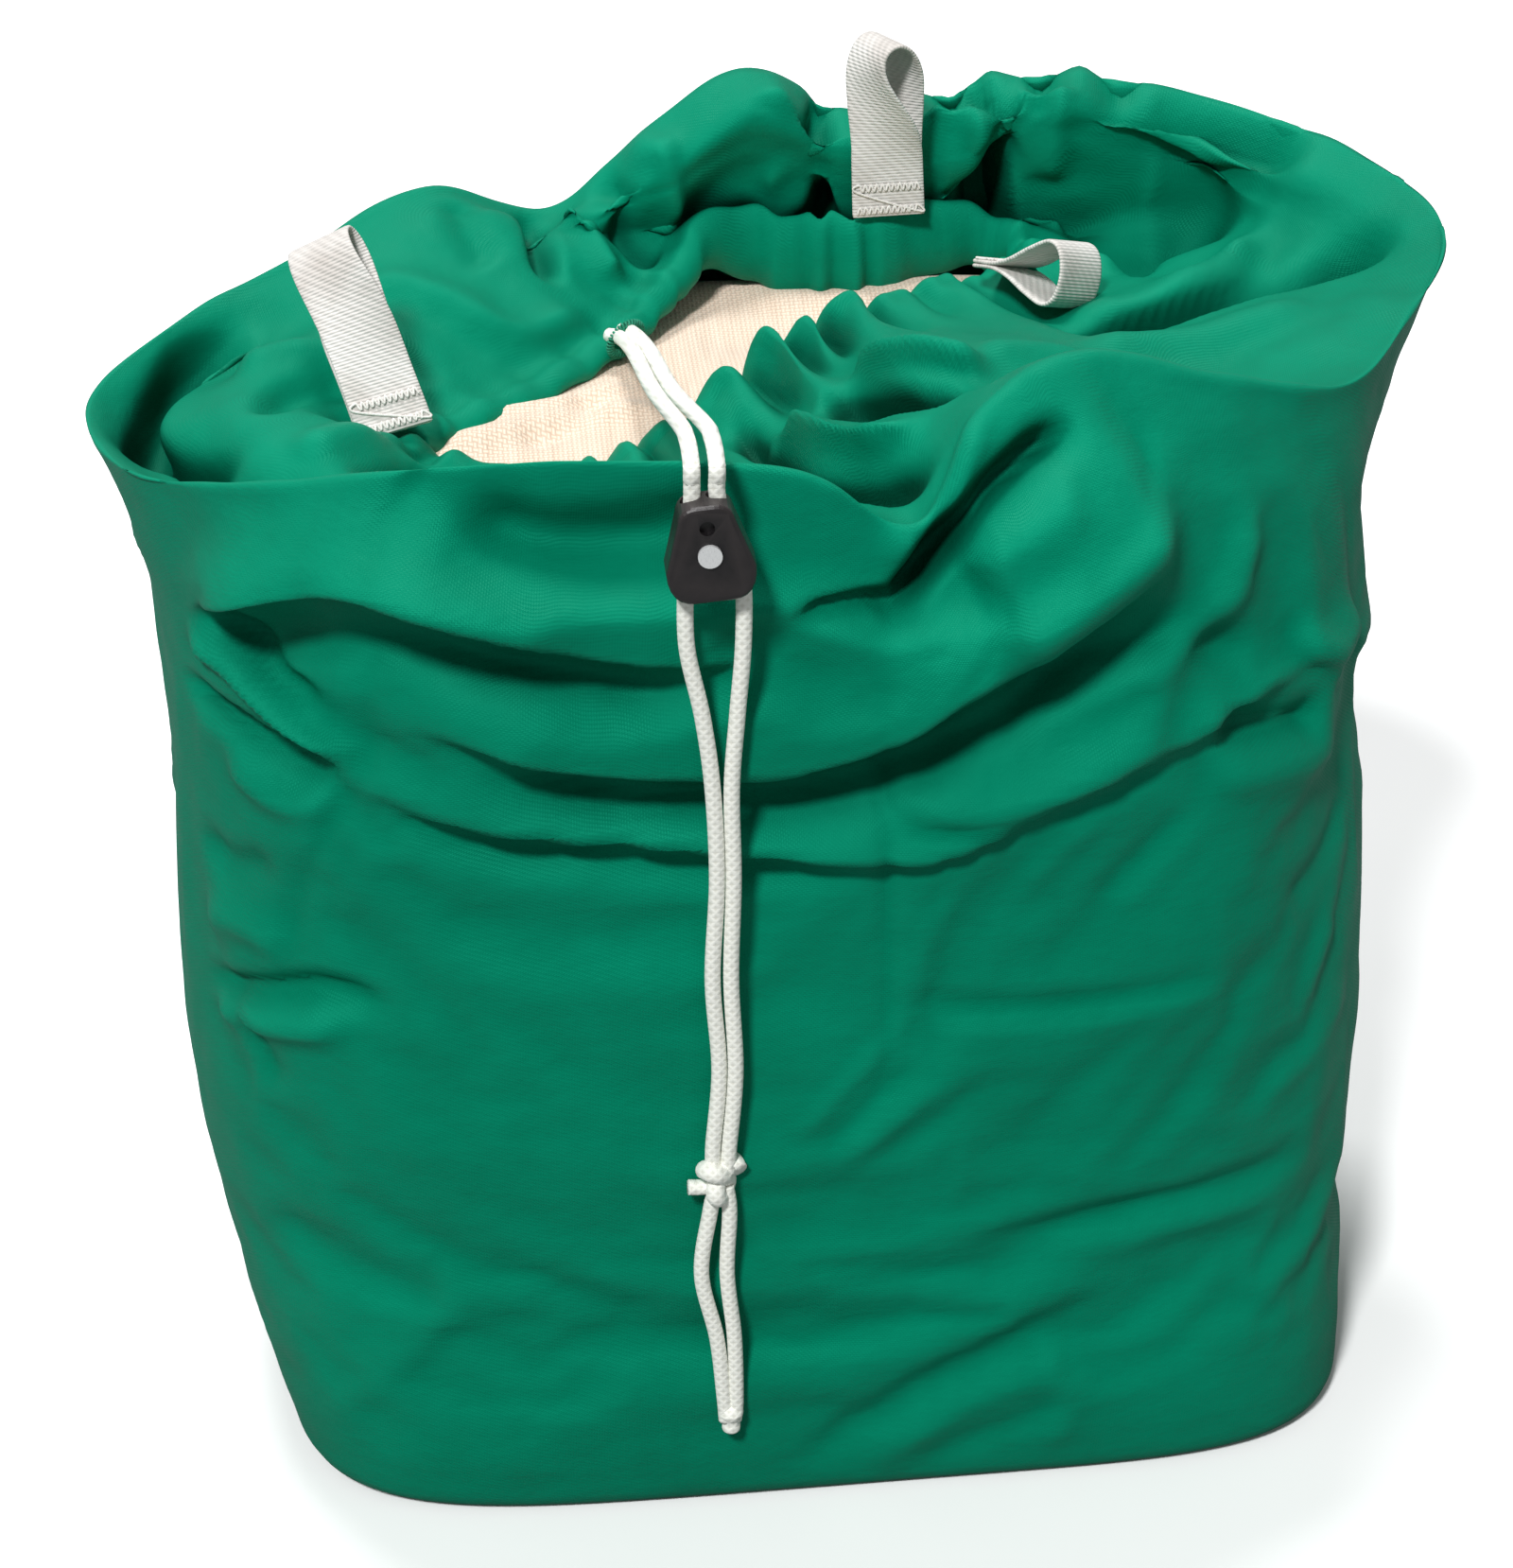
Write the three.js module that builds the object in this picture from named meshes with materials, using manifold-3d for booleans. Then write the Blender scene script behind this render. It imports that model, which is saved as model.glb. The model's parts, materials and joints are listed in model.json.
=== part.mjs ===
// A drawstring laundry bag, filled and standing, with its collar folded in round the mouth.
// Millimetres, +Z up. The origin is on the floor under the mouth's front edge, and the front is -Y.

import * as THREE from 'three';
import { mergeVertices } from 'three/addons/utils/BufferGeometryUtils.js';
import Module from 'manifold-3d';

// ---- driving dimensions ----
const CLOTH = 3;            // thickness of a cloth solid
const GAP = 0.6;            // clearance between neighbouring pieces
const SPLIT_Z = 238;        // the walls are slack above this height
const CORNER_POWER = 4;     // how square the plan of the bag is; 2 is an ellipse
const LINEN_TOP = 326;
const LINEN_INSET = 9;

const HEM_WIDTH = 10;       // the drawcord channel, across
const HEM_HEIGHT = 14;
const HEM_WALL = 1.2;
const HEM_SLIT = 2;         // the channel's open seam, underneath
const COLLAR_STOP = 8;      // how far the collar stays from the channel's centre line
const COLLAR_START = 7;     // and from the rim

const CORD_RADIUS = 2.5;
const CORD_PLANE_Y = -157.5; // the hanging cords
const CORD_X = -28;
const RIM_TOP_Z = 387;       // where the cords turn down over the front rim
const KNOT_Z = 137;
const TAIL_END_Z = 40;

const WEBBING_WIDTH = 25;
const WEBBING_THICKNESS = 1.6;
const LOOP_LENGTH = 66;

const LOCK_HEIGHT = 31;
const LOCK_TOP_WIDTH = 16;
const LOCK_BOTTOM_WIDTH = 26.5;
const LOCK_DEPTH = 12.5;
const LOCK_Z = 363;
const LOCK_LEAN = THREE.MathUtils.degToRad(5);
const CORD_SPREAD_TOP = 3.7; // half the distance between the cords at the lock's top
const CORD_SPREAD_BOTTOM = 8.6;
const BUTTON_RADIUS = 3.6;

// ---- the bag's form ----
// Each row is a height with the reach of the wall to the left, right, front and back.
const WALL_ROWS = [
  [0, -173, 204, -149, 132],
  [40, -181, 205, -151, 138],
  [85, -191, 204, -152, 142],
  [135, -199, 204, -152, 145],
  [180, -198, 202, -151, 143],
  [SPLIT_Z, -196, 199, -148, 139],
];

// The collar runs from a point of the rim to a point of the hem. The pairs go round from the left,
// by the front, to the right and back again.
const SPOKES = [
  [[-219, 0, 336], [-113, -14, 337]],
  [[-197, -68, 350], [-95, -20, 337]],
  [[-150, -113, 368], [-75, -20, 337]],
  [[-100, -129, 376], [-54, -16, 337]],
  [[-40, -134, 379], [-30, -10, 339]],
  [[15, -130, 374], [-5, -2, 342]],
  [[65, -112, 376], [20, 20, 344]],
  [[115, -88, 382], [45, 34, 345]],
  [[165, -70, 378], [72, 52, 345]],
  [[212, -30, 374], [95, 72, 344]],
  [[234, 28, 374], [102, 95, 343]],
  [[212, 85, 382], [88, 112, 343]],
  [[150, 122, 392], [58, 114, 345]],
  [[80, 130, 396], [25, 117, 345]],
  [[10, 128, 401], [-8, 110, 343]],
  [[-50, 116, 382], [-24, 84, 340]],
  [[-110, 100, 369], [-45, 52, 338]],
  [[-170, 58, 354], [-85, 14, 337]],
];
const SIDE_SEAM = 9.5 / SPOKES.length; // the right side seam; the left one is at 0
const EXIT_AT = 16 / SPOKES.length;    // the cords leave the channel here

const wasm = await Module();
wasm.setup();

const point = ([x, y, z]) => new THREE.Vector3(x, y, z);
const rimCurve = new THREE.CatmullRomCurve3(SPOKES.map((spoke) => point(spoke[0])), true);
const hemCurve = new THREE.CatmullRomCurve3(SPOKES.map((spoke) => point(spoke[1])), true);

// ---- materials ----
const finish = (color, roughness, metalness = 0) => new THREE.MeshStandardMaterial({ color, roughness, metalness });
const greenCloth = () => finish(0x008a68, 0.55);
const whiteWebbing = () => finish(0xe9e6e2, 0.8);
const whiteCord = () => finish(0xeceee6, 0.8);
const blackPlastic = () => finish(0x15181a, 0.4);
const beigeLinen = () => finish(0xe0cfbc, 0.9);

// ---- geometry helpers ----
function closedSolid(vertices, triangles) {
  let volume = 0;
  const cross = new THREE.Vector3();
  for (const [a, b, c] of triangles) {
    volume += vertices[a].dot(cross.crossVectors(vertices[b], vertices[c]));
  }
  const geometry = new THREE.BufferGeometry();
  const outward = volume > 0 ? triangles : triangles.map(([a, b, c]) => [a, c, b]);
  geometry.setAttribute('position', new THREE.Float32BufferAttribute(vertices.flatMap((v) => v.toArray()), 3));
  geometry.setIndex(outward.flat());
  return geometry;
}

// A sheet with thickness: two grids of points with the same rows and columns, joined round the edge.
function slab(face, back) {
  const rows = face.length;
  const columns = face[0].length;
  const vertices = [...face.flat(), ...back.flat()];
  const at = (side, row, column) => side * rows * columns + row * columns + column;
  const triangles = [];
  const quad = (a, b, c, d) => triangles.push([a, b, c], [a, c, d]);
  for (let r = 0; r < rows - 1; r += 1) {
    for (let c = 0; c < columns - 1; c += 1) {
      quad(at(0, r, c), at(0, r, c + 1), at(0, r + 1, c + 1), at(0, r + 1, c));
      quad(at(1, r, c), at(1, r + 1, c), at(1, r + 1, c + 1), at(1, r, c + 1));
    }
    quad(at(0, r, 0), at(0, r + 1, 0), at(1, r + 1, 0), at(1, r, 0));
    quad(at(0, r, columns - 1), at(1, r, columns - 1), at(1, r + 1, columns - 1), at(0, r + 1, columns - 1));
  }
  for (let c = 0; c < columns - 1; c += 1) {
    quad(at(0, 0, c), at(1, 0, c), at(1, 0, c + 1), at(0, 0, c + 1));
    quad(at(0, rows - 1, c), at(0, rows - 1, c + 1), at(1, rows - 1, c + 1), at(1, rows - 1, c));
  }
  return closedSolid(vertices, triangles);
}

// A stack of convex closed outlines with flat ends.
function stack(outlines) {
  const count = outlines[0].length;
  const centre = (outline) => outline.reduce((sum, p) => sum.add(p), new THREE.Vector3()).divideScalar(count);
  const vertices = [...outlines.flat(), centre(outlines[0]), centre(outlines.at(-1))];
  const bottom = outlines.length * count;
  const top = bottom + 1;
  const triangles = [];
  for (let i = 0; i < count; i += 1) {
    const next = (i + 1) % count;
    for (let k = 0; k < outlines.length - 1; k += 1) {
      const a = k * count + i;
      const b = k * count + next;
      triangles.push([a, b, b + count], [a, b + count, a + count]);
    }
    triangles.push([bottom, next, i]);
    triangles.push([top, (outlines.length - 1) * count + i, (outlines.length - 1) * count + next]);
  }
  return closedSolid(vertices, triangles);
}

const UP = new THREE.Vector3(0, 0, 1);
const levelOutward = (curve, t) => curve.getTangent(t).setZ(0).normalize().cross(UP);

// A profile of [across, up] points carried once round a level closed curve.
function ringSweep(curve, profile, steps) {
  const vertices = [];
  for (let s = 0; s < steps; s += 1) {
    const centre = curve.getPoint(s / steps);
    const outward = levelOutward(curve, s / steps);
    for (const [across, rise] of profile) {
      vertices.push(centre.clone().addScaledVector(outward, across).addScaledVector(UP, rise));
    }
  }
  const n = profile.length;
  const triangles = [];
  for (let s = 0; s < steps; s += 1) {
    const from = s * n;
    const to = ((s + 1) % steps) * n;
    for (let i = 0; i < n; i += 1) {
      const j = (i + 1) % n;
      triangles.push([from + i, from + j, to + j], [from + i, to + j, to + i]);
    }
  }
  return closedSolid(vertices, triangles);
}

function toManifold(geometry) {
  const bare = geometry.clone();
  bare.deleteAttribute('normal');
  bare.deleteAttribute('uv');
  const merged = mergeVertices(bare, 1e-4);
  return new wasm.Manifold(new wasm.Mesh({
    numProp: 3,
    vertProperties: new Float32Array(merged.attributes.position.array),
    triVerts: new Uint32Array(merged.index.array),
  }));
}

function fromManifold(manifold) {
  const mesh = manifold.getMesh();
  const geometry = new THREE.BufferGeometry();
  geometry.setAttribute('position', new THREE.Float32BufferAttribute(mesh.vertProperties, 3));
  geometry.setIndex(Array.from(mesh.triVerts));
  return geometry;
}

const cut = (geometry, ...tools) => fromManifold(
  tools.reduce((left, tool) => left.subtract(toManifold(tool)), toManifold(geometry)),
);

// A full circle takes two points for each curve segment.
function tube(points, radius, steps, sides = 8) {
  const circle = new THREE.Shape().absarc(0, 0, radius, 0, 2 * Math.PI);
  const path = new THREE.CatmullRomCurve3(points.map(point));
  return new THREE.ExtrudeGeometry(circle, { steps, extrudePath: path, curveSegments: sides / 2, bevelEnabled: false });
}

// A round bar between two points.
function bar(from, to, radius, sides = 16) {
  const axis = point(to).sub(point(from));
  const geometry = new THREE.CylinderGeometry(radius, radius, axis.length(), sides);
  const turn = new THREE.Quaternion().setFromUnitVectors(new THREE.Vector3(0, 1, 0), axis.clone().normalize());
  geometry.applyQuaternion(turn);
  geometry.translate(...point(from).addScaledVector(axis, 0.5).toArray());
  return geometry;
}

// ---- walls and base ----
function wallReach(z) {
  const above = Math.max(1, WALL_ROWS.findIndex((row) => row[0] >= z));
  const [low, high] = [WALL_ROWS[above - 1], WALL_ROWS[above]];
  const share = (z - low[0]) / (high[0] - low[0]);
  return low.slice(1).map((value, i) => THREE.MathUtils.lerp(value, high[i + 1], share));
}

// The wall's point at height z in the direction of the rim's point t, drawn in by inset.
function wallPoint(t, z, inset = 0) {
  const [left, right, front, back] = wallReach(z);
  const centreX = (left + right) / 2;
  const rim = rimCurve.getPoint(t);
  const angle = Math.atan2(rim.y, rim.x - centreX);
  const across = (right - left) / 2 - inset;
  const deep = (rim.y < 0 ? -front : back) - inset;
  const [c, s] = [Math.cos(angle), Math.sin(angle)];
  const reach = (Math.abs(c / across) ** CORNER_POWER + Math.abs(s / deep) ** CORNER_POWER) ** (-1 / CORNER_POWER);
  return new THREE.Vector3(centreX + reach * c, reach * s, z);
}

const spread = (from, to, count) => Array.from({ length: count }, (_, i) => THREE.MathUtils.lerp(from, to, i / (count - 1)));
const SEAM_CLEARANCE = 0.0015; // of the way round, between the front and the back cloth
const front = () => spread(SEAM_CLEARANCE, SIDE_SEAM - SEAM_CLEARANCE, 21);
const back = () => spread(SIDE_SEAM + SEAM_CLEARANCE, 1 - SEAM_CLEARANCE, 21);

function lowerPanel(around) {
  const heights = spread(CLOTH + GAP, SPLIT_Z - GAP, 6);
  const sheet = (inset) => heights.map((z) => around.map((t) => wallPoint(t, z, inset)));
  return slab(sheet(0), sheet(CLOTH));
}

// The slack part of a wall, drawn from the lower panel's top to the rim.
function upperPanel(around) {
  const sheet = (inset) => spread(0, 1, 5).map((rise) => around.map((t) => {
    const foot = wallPoint(t, SPLIT_Z, inset);
    const rim = rimCurve.getPoint(t);
    const head = rim.clone().addScaledVector(levelOutward(rimCurve, t), -inset);
    const flare = rise * rise;
    const z = THREE.MathUtils.lerp(SPLIT_Z + GAP, rim.z, rise);
    return foot.lerp(head, flare).setZ(z);
  }));
  return slab(sheet(0), sheet(CLOTH));
}

// The turned-in cloth, from inside the rim down to the drawcord channel.
function collar(around) {
  const sheet = (drop) => spread(0, 1, 5).map((share) => around.map((t) => {
    const start = rimCurve.getPoint(t).addScaledVector(levelOutward(rimCurve, t), -COLLAR_START);
    const stop = hemCurve.getPoint(t).addScaledVector(levelOutward(hemCurve, t), COLLAR_STOP);
    const behind = levelOutward(rimCurve, t).multiplyScalar(drop).setZ(-drop);
    return start.lerp(stop, share).add(behind);
  }));
  return slab(sheet(0), sheet(0.8 * CLOTH));
}

function basePanel() {
  const outline = (z) => spread(0, 1, 41).slice(0, -1).map((t) => wallPoint(t, 0).setZ(z));
  return stack([outline(0), outline(CLOTH)]);
}

function foldedLinen() {
  const foot = CLOTH + 2 * GAP;
  const heights = [foot, 40, 90, 150, SPLIT_Z];
  const outline = (z, inset) => spread(0, 1, 37).slice(0, -1).map((t) => wallPoint(t, z, inset));
  const sides = heights.map((z) => outline(z, LINEN_INSET));
  const shoulder = outline(SPLIT_Z, LINEN_INSET + 10).map((p) => p.setZ(LINEN_TOP - 40));
  const crown = outline(SPLIT_Z, LINEN_INSET + 40).map((p) => p.setZ(LINEN_TOP));
  return stack([...sides, shoulder, crown]);
}

// ---- mouth: the drawcord channel, its cord and the buttonhole ----
const exitPoint = hemCurve.getPoint(EXIT_AT);
const exitAlong = hemCurve.getTangent(EXIT_AT).setZ(0).normalize().negate();
const exitInward = new THREE.Vector3(-exitAlong.y, exitAlong.x, 0).negate();
const HOLE_LENGTH = 14;
const HOLE_HEIGHT = 7.6;

// Length runs along the channel, height runs up, and depth runs towards the mouth.
function placeAtExit(geometry) {
  const turn = new THREE.Matrix4().makeBasis(exitAlong, new THREE.Vector3(0, 0, 1), exitInward);
  return geometry.applyMatrix4(turn.setPosition(exitPoint));
}

function hemChannel() {
  const [w, h] = [HEM_WIDTH / 2, HEM_HEIGHT / 2];
  const [iw, ih] = [w - HEM_WALL, h - HEM_WALL];
  const s = HEM_SLIT / 2;
  const profile = [[s, -h], [w, -h], [w, h], [-w, h], [-w, -h], [-s, -h], [-s, -ih], [-iw, -ih], [-iw, ih],
    [iw, ih], [iw, -ih], [s, -ih]];
  const channel = ringSweep(hemCurve, profile, 54);
  const hole = new THREE.BoxGeometry(HOLE_LENGTH, HOLE_HEIGHT, HEM_WIDTH);
  hole.translate(0, 0, HEM_WIDTH / 2);
  return cut(channel, placeAtExit(hole));
}

function channelCord() {
  const keepOff = 0.03; // of the way round, on either side of the buttonhole
  const points = spread(EXIT_AT + keepOff, EXIT_AT + 1 - keepOff, 54).map((t) => hemCurve.getPoint(t % 1).toArray());
  return tube(points, CORD_RADIUS - 0.3, 60, 6);
}

function buttonhole() {
  const rim = 2.2;
  const thickness = 1;
  const oval = (target, length, height) => {
    const r = height / 2;
    const straight = length / 2 - r;
    target.absarc(straight, 0, r, -Math.PI / 2, Math.PI / 2);
    target.absarc(-straight, 0, r, Math.PI / 2, 1.5 * Math.PI);
    return target;
  };
  const shape = oval(new THREE.Shape(), HOLE_LENGTH + 2 * rim, HOLE_HEIGHT + 2 * rim);
  shape.holes.push(oval(new THREE.Path(), HOLE_LENGTH, HOLE_HEIGHT));
  const ring = new THREE.ExtrudeGeometry(shape, { depth: thickness, curveSegments: 8, bevelEnabled: false });
  ring.translate(0, 0, HEM_WIDTH / 2 + 0.35);
  return placeAtExit(ring);
}

// ---- drawcord ----
// side is -1 for the left cord and 1 for the right one
const lockPlace = new THREE.Matrix4().makeRotationY(-LOCK_LEAN).setPosition(CORD_X, CORD_PLANE_Y - 2.5, LOCK_Z);
const inLock = (x, y, z) => new THREE.Vector3(x, y, z).applyMatrix4(lockPlace).toArray();
const CORD_DEPTH_IN_LOCK = 2.5;
const throughLock = (side, z) => {
  const share = 0.5 - z / LOCK_HEIGHT;
  const x = THREE.MathUtils.lerp(CORD_SPREAD_TOP, CORD_SPREAD_BOTTOM, share);
  return inLock(side * x, CORD_DEPTH_IN_LOCK, z);
};
const turnX = (side) => inLock(side * CORD_SPREAD_TOP, 0, LOCK_HEIGHT / 2)[0];
const HALF_LOCK = LOCK_HEIGHT / 2;

function cordLead(side) {
  const start = exitPoint.clone().addScaledVector(exitAlong, side * 3);
  const from = start.clone().addScaledVector(exitInward, 0.8);
  const out = start.clone().addScaledVector(exitInward, 9).add(new THREE.Vector3(side * 1.4, 0, 1));
  const x = turnX(side);
  return tube([
    from.toArray(),
    out.toArray(),
    [-34 + side * 3, -10, 363],
    [-35 + side * 3, -62, 376],
    [x, -130, 386.5],
    [x, -147, 391],
    [x, CORD_PLANE_Y + 0.3, RIM_TOP_Z + 2.5],
    [x, CORD_PLANE_Y, RIM_TOP_Z],
  ], CORD_RADIUS, 34);
}

function cordUpper(side) {
  const x = turnX(side);
  return tube([
    [x, CORD_PLANE_Y, RIM_TOP_Z - 2 * GAP],
    throughLock(side, HALF_LOCK),
    throughLock(side, HALF_LOCK / 2),
    throughLock(side, 1),
  ], CORD_RADIUS, 8);
}

function cordLower(side) {
  const knotTop = KNOT_Z + 11;
  const beside = CORD_X + 3.5 + side * 2.75;
  return tube([
    throughLock(side, -1),
    throughLock(side, -HALF_LOCK / 2),
    throughLock(side, -HALF_LOCK),
    [CORD_X + 1.5 + side * 8.5, CORD_PLANE_Y, 326],
    [CORD_X + 2.5 + side * 4.2, CORD_PLANE_Y, 300],
    [beside, CORD_PLANE_Y, 276],
    [beside + 1, CORD_PLANE_Y, 226],
    [beside - 1.5, CORD_PLANE_Y, 180],
    [CORD_X + 2 + side * 2.75, CORD_PLANE_Y, knotTop],
  ], CORD_RADIUS, 40);
}

function strandKnot() {
  const knot = new THREE.TorusKnotGeometry(4.9, 1.9, 54, 6, 2, 3);
  knot.rotateX(Math.PI / 2);
  return knot.translate(CORD_X + 2, CORD_PLANE_Y, KNOT_Z);
}

function cordTail(side) {
  const top = KNOT_Z - 11;
  const bow = side < 0 ? 5.2 : 4.2;
  return tube([
    [CORD_X + 2 + side * 2.8, CORD_PLANE_Y, top],
    [CORD_X + 1 + side * bow, CORD_PLANE_Y, top - 28],
    [CORD_X + 4 + side * 2.9, CORD_PLANE_Y, top - 56],
    [CORD_X + 5.5 + side * 2.7, CORD_PLANE_Y, TAIL_END_Z + 7],
  ], CORD_RADIUS, 16);
}

function endKnot() {
  const bead = new THREE.SphereGeometry(5, 12, 8);
  bead.scale(0.95, 0.95, 1.2);
  return bead.translate(CORD_X + 5.5, CORD_PLANE_Y, TAIL_END_Z);
}

// ---- cord lock ----
const FACE_Y = -LOCK_DEPTH / 2;
const BUTTON_FLOOR_Y = FACE_Y + 5.4;
const SPRING_END_Y = 4.8;

function lockOutline(bevel) {
  const [top, bottom, half] = [LOCK_TOP_WIDTH / 2 - bevel, LOCK_BOTTOM_WIDTH / 2 - bevel, HALF_LOCK - bevel];
  const r = 4;
  const shape = new THREE.Shape();
  shape.moveTo(-top + r, half);
  shape.lineTo(top - r, half);
  shape.quadraticCurveTo(top, half, top + 0.6, half - r);
  shape.lineTo(bottom, -half + 2.2 * r);
  shape.quadraticCurveTo(bottom, -half, bottom - 1.6 * r, -half);
  shape.lineTo(-bottom + 1.6 * r, -half);
  shape.quadraticCurveTo(-bottom, -half, -bottom, -half + 2.2 * r);
  shape.lineTo(-top - 0.6, half - r);
  shape.quadraticCurveTo(-top, half, -top + r, half);
  return shape;
}

function lockBody() {
  const bevel = 1.4;
  const body = new THREE.ExtrudeGeometry(lockOutline(bevel), {
    depth: LOCK_DEPTH - 2 * bevel,
    bevelThickness: bevel,
    bevelSize: bevel,
    bevelSegments: 3,
    curveSegments: 6,
  });
  body.translate(0, 0, -LOCK_DEPTH / 2 + bevel);
  body.rotateX(Math.PI / 2);
  const passage = (side) => {
    const slope = (CORD_SPREAD_BOTTOM - CORD_SPREAD_TOP) / LOCK_HEIGHT;
    const past = HALF_LOCK + 3;
    const x = (z) => side * ((CORD_SPREAD_TOP + CORD_SPREAD_BOTTOM) / 2 - slope * z);
    return bar([x(past), CORD_DEPTH_IN_LOCK, past], [x(-past), CORD_DEPTH_IN_LOCK, -past], CORD_RADIUS + 0.45);
  };
  const buttonBore = bar([0, FACE_Y - 1, 0], [0, BUTTON_FLOOR_Y, 0], BUTTON_RADIUS + 0.3, 24);
  const springBore = bar([0, FACE_Y, 0], [0, SPRING_END_Y + 0.3, 0], 2.7);
  const thumbRecess = bar([0, FACE_Y - 1, 8.8], [0, FACE_Y + 2.4, 8.8], 2.3);
  return cut(body, passage(-1), passage(1), buttonBore, springBore, thumbRecess);
}

function lockButton() {
  const proud = 0.9;
  const head = bar([0, FACE_Y - proud, 0], [0, BUTTON_FLOOR_Y - 3.2, 0], BUTTON_RADIUS, 24);
  const stem = bar([0, BUTTON_FLOOR_Y - 3.6, 0], [0, 0.6, 0], 1.3, 12);
  return fromManifold(toManifold(head).add(toManifold(stem)));
}

function lockSpring() {
  const turns = 4;
  const from = BUTTON_FLOOR_Y - 2.6;
  const radius = 1.85;
  const points = spread(0, 1, turns * 8 + 1).map((share) => {
    const angle = share * turns * 2 * Math.PI;
    const y = THREE.MathUtils.lerp(from, SPRING_END_Y - 0.4, share);
    return [radius * Math.cos(angle), y, radius * Math.sin(angle)];
  });
  return tube(points, 0.35, turns * 12, 6);
}

// ---- hanging loops ----
// Drawn with the sewn end at the origin, the length along +X and the webbing's width along Z.
function webbingLoop(length, opening) {
  const t = WEBBING_THICKNESS;
  const outline = (target, start, half, end, belly) => {
    target.moveTo(start, -half);
    target.bezierCurveTo(start + 0.35 * length, -half, end - 0.45 * length, -belly, end - belly, -belly);
    target.quadraticCurveTo(end, -belly, end, 0);
    target.quadraticCurveTo(end, belly, end - belly, belly);
    target.bezierCurveTo(end - 0.45 * length, belly, start + 0.35 * length, half, start, half);
    target.closePath();
    return target;
  };
  const shape = outline(new THREE.Shape(), 0, t + 0.1, length, opening);
  shape.holes.push(outline(new THREE.Path(), 0.22 * length, 0.25, length - t, opening - t));
  const loop = new THREE.ExtrudeGeometry(shape, { depth: WEBBING_WIDTH, curveSegments: 7, bevelEnabled: false });
  return loop.translate(0, 0, -WEBBING_WIDTH / 2);
}

const frameOf = (place) => {
  const along = point(place.along).normalize();
  const across = point(place.across).addScaledVector(along, -along.dot(point(place.across))).normalize();
  return new THREE.Matrix4().makeBasis(along, across.clone().cross(along), across).setPosition(...place.foot);
};

// The tack lies far enough behind the loop's sewn end for the loop to swing.
function barTack(place) {
  const length = 2.4;
  const clear = 2.2;
  const tack = new THREE.BoxGeometry(length, 2 * WEBBING_THICKNESS, WEBBING_WIDTH - 3);
  tack.translate(-clear - length / 2, 0, 0);
  return tack.applyMatrix4(frameOf(place));
}

// foot is where the loop is sewn on, along its length and across the webbing's width
const LOOPS = {
  left: { foot: [-118, -28, 348], along: [-19, 36, 50], across: [1, 0.3, 0], length: LOOP_LENGTH, opening: 6 },
  back: { foot: [55, 104, 357], along: [-2, 4, 60], across: [1, 0, 0], length: LOOP_LENGTH, opening: 9 },
  right: { foot: [86, 56, 359], along: [24, -24, 7], across: [-0.6, -0.7, 0.35], length: 34, opening: 10 },
};

// ---- assembly ----
const group = new THREE.Group();

function addPiece(name, geometry, material) {
  const mesh = new THREE.Mesh(geometry, material);
  mesh.name = name;
  group.add(mesh);
  return mesh;
}

addPiece('base_panel', basePanel(), greenCloth());
addPiece('front_panel', lowerPanel(front()), greenCloth());
addPiece('back_panel', lowerPanel(back()), greenCloth());
addPiece('front_slack_panel', upperPanel(front()), greenCloth());
addPiece('back_slack_panel', upperPanel(back()), greenCloth());
addPiece('front_collar', collar(front()), greenCloth());
addPiece('back_collar', collar(back()), greenCloth());
addPiece('mouth_hem', hemChannel(), greenCloth());
addPiece('buttonhole_stitching', buttonhole(), greenCloth());
addPiece('folded_linen', foldedLinen(), beigeLinen());
addPiece('channel_cord', channelCord(), whiteCord());
for (const [name, side] of [['left', -1], ['right', 1]]) {
  addPiece(`${name}_cord_lead`, cordLead(side), whiteCord());
  addPiece(`${name}_cord_upper`, cordUpper(side), whiteCord());
  addPiece(`${name}_cord_lower`, cordLower(side), whiteCord());
  addPiece(`${name}_cord_tail`, cordTail(side), whiteCord());
}
addPiece('strand_knot', strandKnot(), whiteCord());
addPiece('end_knot', endKnot(), whiteCord());

for (const [name, geometry, material] of [
  ['cord_lock_body', lockBody(), blackPlastic()],
  ['cord_lock_spring', lockSpring(), finish(0xb8bcc0, 0.3, 1)],
  ['cord_lock_button', lockButton(), finish(0xc9cdd0, 0.35, 0.6)],
]) {
  addPiece(name, geometry, material).applyMatrix4(lockPlace);
}

for (const [name, place] of Object.entries(LOOPS)) {
  const loop = webbingLoop(place.length, place.opening);
  addPiece(`${name}_loop`, loop.applyMatrix4(frameOf(place)), whiteWebbing());
  addPiece(`${name}_loop_tack`, barTack(place), whiteWebbing());
}

export default group;
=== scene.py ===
"""The looks of a filled drawstring laundry bag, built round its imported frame.

Shapes are worked out in millimetres in the frame's own axes (+Z up, the front is -Y) and turned to metres
when a mesh is made. The bag's cloth is one sheet: grid rows run up from the base, over the rim and down the
collar to the hem, and grid columns run round from the left, by the front.
"""

import json
import math

import bpy
import numpy as np
from mathutils import Matrix, Vector


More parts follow.
